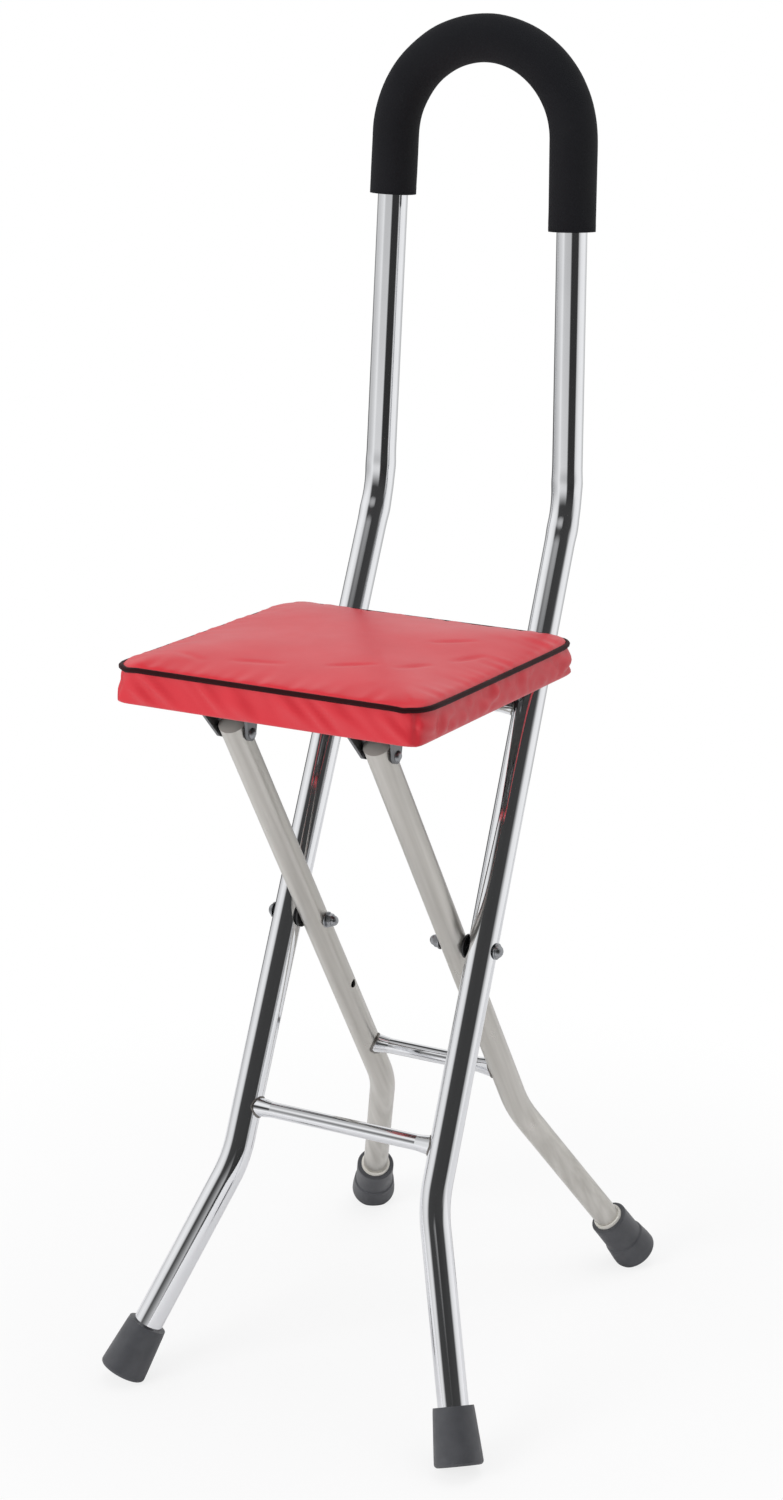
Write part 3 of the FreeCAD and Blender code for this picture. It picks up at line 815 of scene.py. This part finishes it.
def tidy_shell(piece: Piece) -> None:
    """Merge a piece's doubled points and turn its faces outwards.

    Args:
        piece: The piece.
    """
    select_only(piece)
    bpy.ops.object.mode_set(mode="EDIT")
    bpy.ops.mesh.select_all(action="SELECT")
    bpy.ops.mesh.remove_doubles(threshold=0.01 * MM)
    bpy.ops.mesh.normals_make_consistent(inside=False)
    bpy.ops.object.mode_set(mode="OBJECT")


# The seat


@dataclass(frozen=True)
class Crease:
    """A shallow fold in the seat's top panel, in the seat's own frame."""

    x: float
    y: float
    length: float
    turn: float
    depth: float


@dataclass
class SeatCushion:
    """The padded seat: crowned top, puckered skirt, piping along the upper edge."""

    front_edge: Vector = field(default_factory=lambda: Vector((0.0, -176.5, 504.4)) * MM)
    tilt: float = 2.0
    width: float = 214.6 * MM
    depth: float = 219.8 * MM
    edge_height: float = 24.0 * MM
    top_corner_r: float = 20.0 * MM
    hem_corner_r: float = 8.0 * MM
    inset: float = 0.6 * MM
    corner_steps: int = 10
    hem_round: float = 1.5 * MM
    crown: tuple[tuple[float, float], ...] = (
        (5 * MM, 2.4 * MM), (14 * MM, 1.6 * MM), (30 * MM, 0.8 * MM)
    )
    voxel: float = 4.0 * MM
    pressure: float = 4.0
    swell_cap: float = 5.0 * MM
    sim_frames: int = 20
    held_below: float = 2.0 * MM
    seam_width: float = 4.0 * MM
    seam_inset: float = 3.0 * MM
    piping_r: float = 1.7 * MM
    piping_drop: float = 1.2 * MM
    piping_rise: float = 0.1
    piping_reach: float = 6.0 * MM
    piping_proud: float = 0.45
    piping_steps: int = 168
    hem_width: float = 15.0 * MM
    hem_depth: float = 2.0 * MM
    hem_facing: float = 0.7
    wall_fade: float = 1.6
    wall_power: float = 0.7
    top_facing: float = 0.6
    top_share: float = 0.8
    pucker: float = 3.6 * MM
    pucker_width: float = 14.0 * MM
    pucker_limit: float = 2.0 * MM
    lobe_gain: float = 1.9
    lobe_base: float = 0.5
    valley: float = 0.13
    fold_stretch: float = 5.0
    crinkle: float = 0.05
    crinkle_size: float = 0.4
    front_slant: float = 1.1
    side_slant: float = 0.3
    corner_tuck: float = 2.4 * MM
    tuck_place: float = 6.0 * MM
    tuck_reach: float = 9.0 * MM
    tuck_width: float = 2.2 * MM
    gather: float = 1.1 * MM
    gather_reach: float = 16.0 * MM
    gather_pitch: float = 8.0 * MM
    gather_run: float = 60.0 * MM
    gather_seed: float = 7.3
    crease_width: float = 2.6 * MM
    creases: tuple[Crease, ...] = (
        Crease(66 * MM, 70 * MM, 30 * MM, 62.0, 1.0 * MM),
        Crease(82 * MM, 112 * MM, 34 * MM, 74.0, 1.1 * MM),
        Crease(58 * MM, 140 * MM, 38 * MM, 52.0, 0.9 * MM),
        Crease(34 * MM, 52 * MM, 36 * MM, 30.0, 0.8 * MM),
        Crease(-22 * MM, 34 * MM, 40 * MM, 12.0, 0.6 * MM),
        Crease(-66 * MM, 28 * MM, 30 * MM, -22.0, 0.5 * MM),
    )

    def placement(self) -> Matrix:
        """Place the seat's own frame in the stool's.

        Returns:
            The matrix from the one to the other.
        """
        turn = Matrix.Rotation(math.radians(-self.tilt), 4, "X")
        corner = self.front_edge - turn @ Vector((0.0, 0.0, self.edge_height))
        return Matrix.Translation(corner) @ turn

    def build(self) -> list[Piece]:
        """Model the cushion and its piping.

        Returns:
            The cushion and the piping.
        """
        cushion = self.block()
        self.inflate(cushion)
        apply_modifier(cushion, "SMOOTH", factor=0.5, iterations=2)
        apply_modifier(cushion, "SUBSURF", levels=1, render_levels=1)
        piping = self.piping(cushion)
        self.open_hem(cushion)
        self.pull_folds(cushion)
        for piece in (cushion, piping):
            piece.data.transform(self.placement())
            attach(piece, Body.SEAT.value)
        smooth_shading(cushion, angle=180.0)
        smooth_shading(piping, angle=180.0)
        RED_VINYL.dress(cushion)
        PIPING_VINYL.dress(piping)
        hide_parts("seat_foam", "seat_cover_top", "seat_cover_skirt")
        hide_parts("seat_piping")
        return [cushion, piping]

    def block(self) -> Piece:
        """Model the stuffed block before it swells: rounded corners, a softened hem.

        Returns:
            The block, in the seat's own frame.
        """
        clear_selection()
        bpy.ops.mesh.primitive_cube_add(
            size=1.0,
            location=(0.0, self.depth / 2, self.edge_height / 2),
            scale=(self.width - 2 * self.inset, self.depth - 2 * self.inset, self.edge_height),
        )
        block = take_new_piece("seat_cushion")
        bpy.ops.object.mode_set(mode="EDIT")
        pick(block, "edges", lambda edge: abs(edge.verts[0].co.z - edge.verts[1].co.z) > ONE_LEVEL)
        bpy.ops.mesh.bevel(offset=self.top_corner_r, segments=self.corner_steps, affect="EDGES")
        self.sharpen_hem_corners(block)
        pick(block, "edges", lambda edge: all(vert.co.z < ONE_LEVEL for vert in edge.verts))
        bpy.ops.mesh.bevel(offset=self.hem_round, segments=3, affect="EDGES")
        pick(block, "faces", lambda face: face.normal.z > LEVEL_FACING)
        for inward, rise in self.crown:
            bpy.ops.mesh.inset(thickness=inward)
            bpy.ops.transform.translate(value=(0.0, 0.0, rise))
        bpy.ops.object.mode_set(mode="OBJECT")
        return block

    def sharpen_hem_corners(self, block: Piece) -> None:
        """Move the lower ends of the corners outwards to the hem's smaller radius.

        Args:
            block: The block, in edit mode.
        """
        mesh = bmesh.from_edit_mesh(block.data)
        half = self.width / 2 - self.inset
        near, far = self.inset, self.depth - self.inset
        for vert in mesh.verts:
            side = math.copysign(1.0, vert.co.x)
            rear = vert.co.y > self.depth / 2
            wall_y = far if rear else near
            inward = -1.0 if rear else 1.0
            centre = Vector((side * (half - self.top_corner_r), wall_y + inward * self.top_corner_r))
            out = Vector((vert.co.x, vert.co.y)) - centre
            share = min(max(vert.co.z / self.edge_height, 0.0), 1.0)
            radius = mixed(self.hem_corner_r, self.top_corner_r, share)
            hub = Vector((side * (half - radius), wall_y + inward * radius))
            moved = hub + out.normalized() * radius
            vert.co.x, vert.co.y = moved.x, moved.y
        bmesh.update_edit_mesh(block.data)

    def inflate(self, cushion: Piece) -> None:
        """Swell the block with air pressure, its underside held flat against the board.

        Args:
            cushion: The block, which takes on the swollen shape.
        """
        select_only(cushion)
        cushion.data.remesh_voxel_size = self.voxel
        bpy.ops.object.voxel_remesh()
        start = [vert.co.copy() for vert in cushion.data.vertices]
        held = cushion.vertex_groups.new(name="held_by_board")
        held.add([i for i, place in enumerate(start) if self.is_sewn(place)], 1.0, "REPLACE")
        cloth = cushion.modifiers.new("cloth", "CLOTH")
        cloth.settings.use_pressure = True
        cloth.settings.uniform_pressure_force = self.pressure
        cloth.settings.effector_weights.gravity = 0.0
        cloth.settings.vertex_group_mass = held.name
        cloth.point_cache.frame_start = 1
        cloth.point_cache.frame_end = self.sim_frames
        for frame in range(1, self.sim_frames + 1):
            bpy.context.scene.frame_set(frame)
        shaped = cushion.evaluated_get(bpy.context.evaluated_depsgraph_get())
        swollen = [vert.co.copy() for vert in shaped.data.vertices]
        cushion.modifiers.remove(cloth)
        cushion.vertex_groups.remove(held)
        bpy.context.scene.frame_set(1)
        for vert, before, after in zip(cushion.data.vertices, start, swollen):
            move = after - before
            if move.length > self.swell_cap:
                move *= self.swell_cap / move.length
            vert.co = before + move

    def is_sewn(self, place: Vector) -> bool:
        """Say whether the board below or the seam under the piping holds a point.

        Args:
            place: The point, in the seat's own frame.

        Returns:
            True where the point can't move.
        """
        half_x = self.width / 2 - self.inset - self.top_corner_r
        half_y = self.depth / 2 - self.inset - self.top_corner_r
        over_x = max(abs(place.x) - half_x, 0.0)
        over_y = max(abs(place.y - self.depth / 2) - half_y, 0.0)
        at_edge = math.hypot(over_x, over_y) > self.top_corner_r - self.seam_inset
        return place.z < self.held_below or (at_edge and place.z > self.edge_height - self.seam_width)

    def edge_ring(self, count: int) -> list[Vector]:
        """Return points round the piped edge, evenly spaced along it.

        Args:
            count: How many points.

        Returns:
            The points, in the seat's own frame.
        """
        radius = self.top_corner_r
        half_x = self.width / 2 - self.piping_r - radius
        half_y = self.depth / 2 - self.piping_r - radius
        quarter = radius * math.pi / 2
        legs = [2 * half_y, quarter, 2 * half_x, quarter] * 2
        hubs = [(1, 1), (-1, 1), (-1, -1), (1, -1)]
        total = sum(legs)
        points = []
        for number in range(count):
            along = total * number / count
            leg = 0
            while along > legs[leg]:
                along -= legs[leg]
                leg += 1
            corner, curved = divmod(leg, 2)
            hub = Vector((hubs[corner][0] * half_x, hubs[corner][1] * half_y))
            heading = corner * math.pi / 2 + curved * along / radius
            out = Vector((math.cos(heading), math.sin(heading)))
            left_over = (1 - curved) * (legs[leg] - along)
            place = hub + out * radius + Vector((out.y, -out.x)) * left_over
            height = self.edge_height - self.piping_drop
            points.append(Vector((place.x, place.y + self.depth / 2, height)))
        return points

    def piping(self, cushion: Piece) -> Piece:
        """Lay the piping cord on the cushion's upper edge.

        Args:
            cushion: The swollen cushion that it is sewn to.

        Returns:
            The cord, in the seat's own frame.
        """
        tree = BVHTree.FromObject(cushion, bpy.context.evaluated_depsgraph_get())
        ring = self.edge_ring(self.piping_steps)
        clear_selection()
        bpy.ops.mesh.primitive_circle_add(vertices=len(ring), radius=self.width / 2)
        cord = take_new_piece("piping_cord")
        for vert, place in zip(cord.data.vertices, ring):
            out = (place - Vector((0.0, self.depth / 2, self.edge_height))).normalized()
            away = (out + Vector((0.0, 0.0, self.piping_rise))).normalized()
            surface, _, _, _ = tree.find_nearest(place + away * self.piping_reach)
            vert.co = surface + away * (self.piping_proud * self.piping_r)
        bpy.ops.object.convert(target="CURVE")
        cord = bpy.context.object
        cord.data.bevel_depth = self.piping_r
        cord.data.bevel_resolution = 4
        bpy.ops.object.convert(target="MESH")
        cord = bpy.context.object
        cord.name = "piping_cord"
        return cord

    def open_hem(self, cushion: Piece) -> None:
        """Sink the underside inside the hem, so that the hem laps under the board.

        Args:
            cushion: The cushion, in the seat's own frame.
        """
        select_only(cushion)
        bpy.ops.object.mode_set(mode="EDIT")
        half_x, half_y = self.width / 2 - self.hem_width, self.depth / 2 - self.hem_width

        def inside_hem(face: bmesh.types.BMFace) -> bool:
            """Say whether a face of the underside lies within the hem's inner edge."""
            x, y, z = face.calc_center_median()
            level = z < self.hem_round and face.normal.z < -self.hem_facing
            return level and abs(x) < half_x and abs(y - self.depth / 2) < half_y

        pick(cushion, "faces", inside_hem)
        bpy.ops.mesh.extrude_region_move(TRANSFORM_OT_translate={"value": (0.0, 0.0, self.hem_depth)})
        bpy.ops.object.mode_set(mode="OBJECT")

    def pull_folds(self, cushion: Piece) -> None:
        """Pull the skirt into puckers, gather the top along the piping and tuck the corners.

        Args:
            cushion: The cushion, in the seat's own frame.
        """
        normals = [vert.normal.copy() for vert in cushion.data.vertices]
        for vert, normal in zip(cushion.data.vertices, normals):
            place = vert.co - Vector((0.0, self.depth / 2, 0.0))
            share = min(max(place.z / self.edge_height, 0.0), 1.0)
            steep = 1.0 - min(abs(normal.z) * self.wall_fade, 1.0)
            window = math.sin(math.pi * share) ** self.wall_power if 0 < share < 1 else 0.0
            vert.co += normal * (self.pucker_depth(place) * steep * window)
            if normal.z > self.top_facing and place.z > self.top_share * self.edge_height:
                vert.co.z += self.gather_height(place)
                vert.co.z -= self.crease_depth(place.x, place.y + self.depth / 2)

    def pucker_depth(self, place: Vector) -> float:
        """Draw the skirt's folds: slanting, with sharper valleys, and tucked in at the corners.

        Args:
            place: A point of the skirt, measured from the seat's middle.

        Returns:
            How far the skirt stands out there.
        """
        wide = self.pucker_width
        across, beside = place.x + self.front_slant * place.z, place.y + self.side_slant * place.z
        fold = noise.noise(Vector((across / wide, beside / wide, place.z / (self.fold_stretch * wide))))
        lobe = self.lobe_gain * math.hypot(fold, self.valley) - self.lobe_base
        small = self.crinkle_size
        crinkle = noise.noise(Vector((across, beside, small * place.z)) / (small * wide))
        from_side, from_end = self.width / 2 - abs(place.x), self.depth / 2 - abs(place.y)
        inward = math.hypot(from_side, from_end) - self.tuck_place
        tuck = self.corner_tuck * math.exp(-((inward / self.tuck_reach) ** 2))
        seam = math.exp(-(((from_side - from_end) / self.tuck_width) ** 2))
        depth = self.pucker * (lobe + self.crinkle * crinkle) - tuck * seam
        return max(depth, -self.pucker_limit)

    def gather_height(self, place: Vector) -> float:
        """Draw the gathers of the top panel along the piping.

        Args:
            place: A point of the top, measured from the seat's middle.

        Returns:
            How much the top rises there.
        """
        from_side, from_end = self.width / 2 - abs(place.x), self.depth / 2 - abs(place.y)
        along, out = (place.y, place.x) if from_side < from_end else (place.x, place.y)
        inward = min(from_side, from_end)
        seed = math.copysign(self.gather_seed, out)
        wave = noise.noise(Vector((along / self.gather_pitch, inward / self.gather_run, seed)))
        return self.gather * wave * math.exp(-((inward / self.gather_reach) ** 2))

    def crease_depth(self, x: float, y: float) -> float:
        """Draw the creases of the top panel.

        Args:
            x: Place across the seat.
            y: Place behind the seat's front edge.

        Returns:
            How deep the top sinks there.
        """
        total = 0.0
        for crease in self.creases:
            turn = math.radians(crease.turn)
            along = (x - crease.x) * math.cos(turn) + (y - crease.y) * math.sin(turn)
            across = (y - crease.y) * math.cos(turn) - (x - crease.x) * math.sin(turn)
            reach = max(0.0, 1.0 - (2 * along / crease.length) ** 2)
            total += crease.depth * reach * math.exp(-((across / self.crease_width) ** 2))
        return total


# Weld beads where the bars meet the tubes


@dataclass
class WeldBeads:
    """Rings of weld where the cross bars meet the tubes."""

    bead_r: float = 1.1 * MM
    ring_share: float = 0.96
    sink: float = 0.2 * MM
    ripple: float = 0.35 * MM
    ripple_span: float = 1.6 * MM

    def build(self, name: str, bar: str, tube_r: float, lean: float, body: Body) -> Piece:
        """Model the two beads of one bar.

        Args:
            name: Name of the piece.
            bar: Node of the bar.
            tube_r: Radius of the tubes that it joins.
            lean: Lean of those tubes from the vertical, in degrees.
            body: Body that the bar belongs to.

        Returns:
            Both beads as one piece.
        """
        low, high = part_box(bar)
        middle = (Vector(low) + Vector(high)) / 2
        ring_r = (high[2] - low[2]) / 2 * self.ring_share
        half = (high[0] - low[0]) / 2
        across = Vector((0, -lean_dir(lean).z, lean_dir(lean).y))
        beads = []
        for side in Side:
            clear_selection()
            bpy.ops.mesh.primitive_torus_add(
                major_radius=ring_r,
                minor_radius=self.bead_r,
                major_segments=48,
                minor_segments=12,
                location=middle + Vector((side.value * half, 0, 0)),
                rotation=(0.0, math.pi / 2, 0.0),
            )
            bead = take_new_piece(name)
            normals = [vert.normal.copy() for vert in bead.data.vertices]
            for vert, normal in zip(bead.data.vertices, normals):
                bulge = self.sag(tube_r, (vert.co - middle).dot(across))
                vert.co.x -= side.value * (self.sag(tube_r, ring_r) - bulge + self.sink)
                vert.co += normal * (self.ripple * noise.noise(vert.co / self.ripple_span))
            beads.append(bead)
        select_only(*beads)
        bpy.ops.object.join()
        joined = bpy.context.object
        smooth_shading(joined, angle=180.0)
        WELD_METAL.dress(joined)
        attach(joined, body.value)
        return joined

    @staticmethod
    def sag(tube_r: float, offset: float) -> float:
        """Return how far a tube's wall has fallen back at an offset from its middle line."""
        return tube_r - math.sqrt(max(tube_r**2 - offset**2, 0.0))


# Floor, light and camera


@dataclass(frozen=True)
class DarkSector:
    """One dark sector of the room: its compass direction, and greys by angle from its middle."""

    azimuth: float
    greys: tuple[tuple[float, float], ...]


@dataclass(frozen=True)
class Softbox:
    """One square soft light that faces the object's middle."""

    name: str
    place: Vector
    size: float
    power: float


@dataclass
class Studio:
    """Pale floor, soft light, a dark strip behind the camera, and the camera itself."""

    azimuth: float = 28.1
    elevation: float = 17.0
    distance: float = 1843.9 * MM
    aim: Vector = field(default_factory=lambda: Vector((-2.56, -5.67, 418.7)) * MM)
    focal_px: float = 2820.1
    image_height_px: float = 1500.0
    sensor: float = 36.0
    floor_r: float = 1.15
    shadow_from: float = 0.25
    shadow_to: float = 0.62
    shadow_share: float = 0.8
    floor_colour: str = "F7F7F8"
    sky: float = 0.56
    low_sector: DarkSector = DarkSector(
        52.0,
        (
            (0.0, 0.03), (24.0, 0.03), (32.0, 0.95), (88.0, 1.0), (108.0, 0.66),
            (132.0, 0.5), (158.0, 0.5), (165.0, 0.08), (180.0, 0.06),
        ),
    )
    high_sector: DarkSector = DarkSector(
        32.0, ((0.0, 0.05), (56.0, 0.06), (70.0, 0.8), (95.0, 1.0), (180.0, 1.0))
    )
    # Share of the high sector's greys, by the height of a ray's direction
    belt: tuple[tuple[float, float], ...] = ((-0.2, 0.0), (0.26, 1.0), (0.5, 1.0), (0.68, 0.0))
    softboxes: tuple[Softbox, ...] = (
        Softbox("key_softbox", Vector((-0.9, -2.2, 1.3)), 1.3, 30.0),
        Softbox("top_softbox", Vector((0.3, 0.3, 2.4)), 1.6, 15.0),
    )
    lit_height: float = 0.4

    def direction(self, azimuth: float, elevation: float) -> Vector:
        """Return the unit vector from the object towards a viewing angle."""
        turn, rise = math.radians(azimuth), math.radians(elevation)
        return Vector((math.sin(turn) * math.cos(rise), -math.cos(turn) * math.cos(rise), math.sin(rise)))

    def build_camera(self) -> None:
        """Place the camera at the photograph's angle and make it the scene's camera."""
        back = self.direction(self.azimuth, self.elevation)
        clear_selection()
        bpy.ops.object.camera_add(
            location=self.aim + back * self.distance, rotation=(-back).to_track_quat("-Z", "Y").to_euler()
        )
        camera = bpy.context.object
        camera.name = "photo_camera"
        camera.data.sensor_width = self.sensor
        camera.data.lens = self.focal_px / self.image_height_px * self.sensor
        camera.data.clip_start = 0.05
        camera.data.clip_end = 60.0
        bpy.context.scene.camera = camera

    def build_floor(self) -> None:
        """Model the round floor, which fades to plain white away from the object."""
        clear_selection()
        bpy.ops.mesh.primitive_circle_add(vertices=96, radius=self.floor_r, fill_type="NGON")
        floor = take_new_piece("studio_floor")
        made = bpy.data.materials.new("pale_studio_floor")
        made.use_nodes = True
        tree = made.node_tree
        tree.nodes.clear()
        place = add_node(tree, "TexCoord").outputs["Object"]
        reach = add_node(tree, "VectorMath", {"operation": "LENGTH"}, {0: place})
        fade = add_node(
            tree,
            "MapRange",
            {
                "interpolation_type": "SMOOTHSTEP",
                "From Min": self.shadow_from,
                "From Max": self.shadow_to,
                "To Min": self.shadow_share,
                "To Max": 1.0,
            },
            {"Value": reach.outputs["Value"]},
        )
        share = add_node(
            tree, "Math", {"operation": "MULTIPLY"}, {0: camera_rays(tree), 1: fade.outputs["Result"]}
        )
        card = add_node(tree, "BsdfDiffuse", {"Color": linear(self.floor_colour)})
        white = add_node(tree, "Emission", {"Color": WHITE, "Strength": 1.0})
        blend = add_node(
            tree, "MixShader", links={0: share.outputs[0], 1: card.outputs[0], 2: white.outputs[0]}
        )
        side = add_node(tree, "NewGeometry")
        below = add_node(tree, "BsdfTransparent")
        shown = add_node(
            tree,
            "MixShader",
            links={0: side.outputs["Backfacing"], 1: blend.outputs[0], 2: below.outputs[0]},
        )
        add_node(tree, "OutputMaterial", links={"Surface": shown.outputs[0]})
        floor.data.materials.append(made)

    def build_world(self) -> None:
        """Make the white room, with the dark strip that polished metal shows as its centre line."""
        world = bpy.data.worlds.new("white_room")
        bpy.context.scene.world = world
        world.use_nodes = True
        tree = world.node_tree
        tree.nodes.clear()
        way = add_node(tree, "TexCoord").outputs["Generated"]
        level = add_node(tree, "VectorMath", {"operation": "MULTIPLY", 1: (1.0, 1.0, 0.0)}, {0: way})
        unit = add_node(tree, "VectorMath", {"operation": "NORMALIZE"}, {0: level.outputs[0]})
        low = self.sector(tree, unit.outputs[0], self.low_sector)
        high = self.sector(tree, unit.outputs[0], self.high_sector)
        height = add_node(tree, "SeparateXYZ", links={0: way})
        belt = grey_ramp(tree, height.outputs["Z"], self.belt)
        room = add_node(tree, "Mix", {"data_type": "RGBA"}, {0: belt, 6: low, 7: high})
        glossy = add_node(tree, "LightPath").outputs["Is Glossy Ray"]
        mirror = add_node(
            tree,
            "Mix",
            {"data_type": "RGBA", 6: (self.sky, self.sky, self.sky, 1.0)},
            {0: glossy, 7: room.outputs[2]},
        )
        seen = add_node(
            tree, "Mix", {"data_type": "RGBA", 7: WHITE}, {0: camera_rays(tree), 6: mirror.outputs[2]}
        )
        light = add_node(tree, "Background", {"Strength": 1.0}, {"Color": seen.outputs[2]})
        add_node(tree, "OutputWorld", links={"Surface": light.outputs[0]})

    def sector(self, tree: Tree, unit: Socket, sector: DarkSector) -> Socket:
        """Colour the room round the compass, dark within one sector.

        Args:
            tree: The world's node tree.
            unit: Level direction of the ray.
            sector: The dark sector and the greys beside it.

        Returns:
            The room's grey in the ray's direction.
        """
        ahead = self.direction(sector.azimuth, 0.0)
        cosine = add_node(tree, "VectorMath", {"operation": "DOT_PRODUCT", 1: ahead}, {0: unit})
        stops = [(math.cos(math.radians(angle)), grey) for angle, grey in sector.greys]
        return grey_ramp(tree, cosine.outputs["Value"], stops)

    def build_lights(self) -> None:
        """Hang the soft key on the left and the weaker fill overhead."""
        for box in self.softboxes:
            aim = Vector((0.0, 0.0, self.lit_height)) - box.place
            turn = aim.to_track_quat("-Z", "Y").to_euler()
            clear_selection()
            bpy.ops.object.light_add(type="AREA", location=box.place, rotation=turn)
            lamp = bpy.context.object
            lamp.name = box.name
            lamp.data.shape = "SQUARE"
            lamp.data.size = box.size
            lamp.data.energy = box.power
            lamp.visible_glossy = False


def report(pieces: Iterable[Piece]) -> None:
    """Log each piece with its size in millimetres.

    Args:
        pieces: The pieces.
    """
    for piece in pieces:
        size = [round(v / MM, 1) for v in piece.dimensions]
        LOG.info("%s: %s mm, %d faces", piece.name, size, len(piece.data.polygons))


def main() -> None:
    """Load the frame, build every piece in order, and light the scene."""
    logging.basicConfig(level=logging.INFO, format="%(relativeCreated)d ms %(message)s")
    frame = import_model()
    bpy.context.scene.view_settings.view_transform = "Standard"

    studio = Studio()
    studio.build_camera()
    studio.build_floor()
    studio.build_world()
    studio.build_lights()

    for finish, names in NODE_FINISHES.items():
        for name in names:
            finish.dress(frame["nodes"][name])

    joints = {joint["name"]: Vector(joint["pos_m"]) for joint in frame["joints"]}
    handle = HandleFrame(pivot=joints["leg_fold"])
    report([handle.build_tube(), handle.build_grip()])
    report(SeatCushion().build())

    beads = WeldBeads()
    front = (handle.tube_r, handle.lean, Body.MAIN_FRAME)
    rear = (REAR_TUBE_R, REAR_LEAN, Body.REAR_LEGS)
    report(
        [
            beads.build("front_bar_welds", "front_cross_bar", *front),
            beads.build("rest_bar_welds", "seat_rest_bar", *front),
            beads.build("rear_bar_welds", "rear_cross_bar", *rear),
        ]
    )


if __name__ == "__main__":
    main()
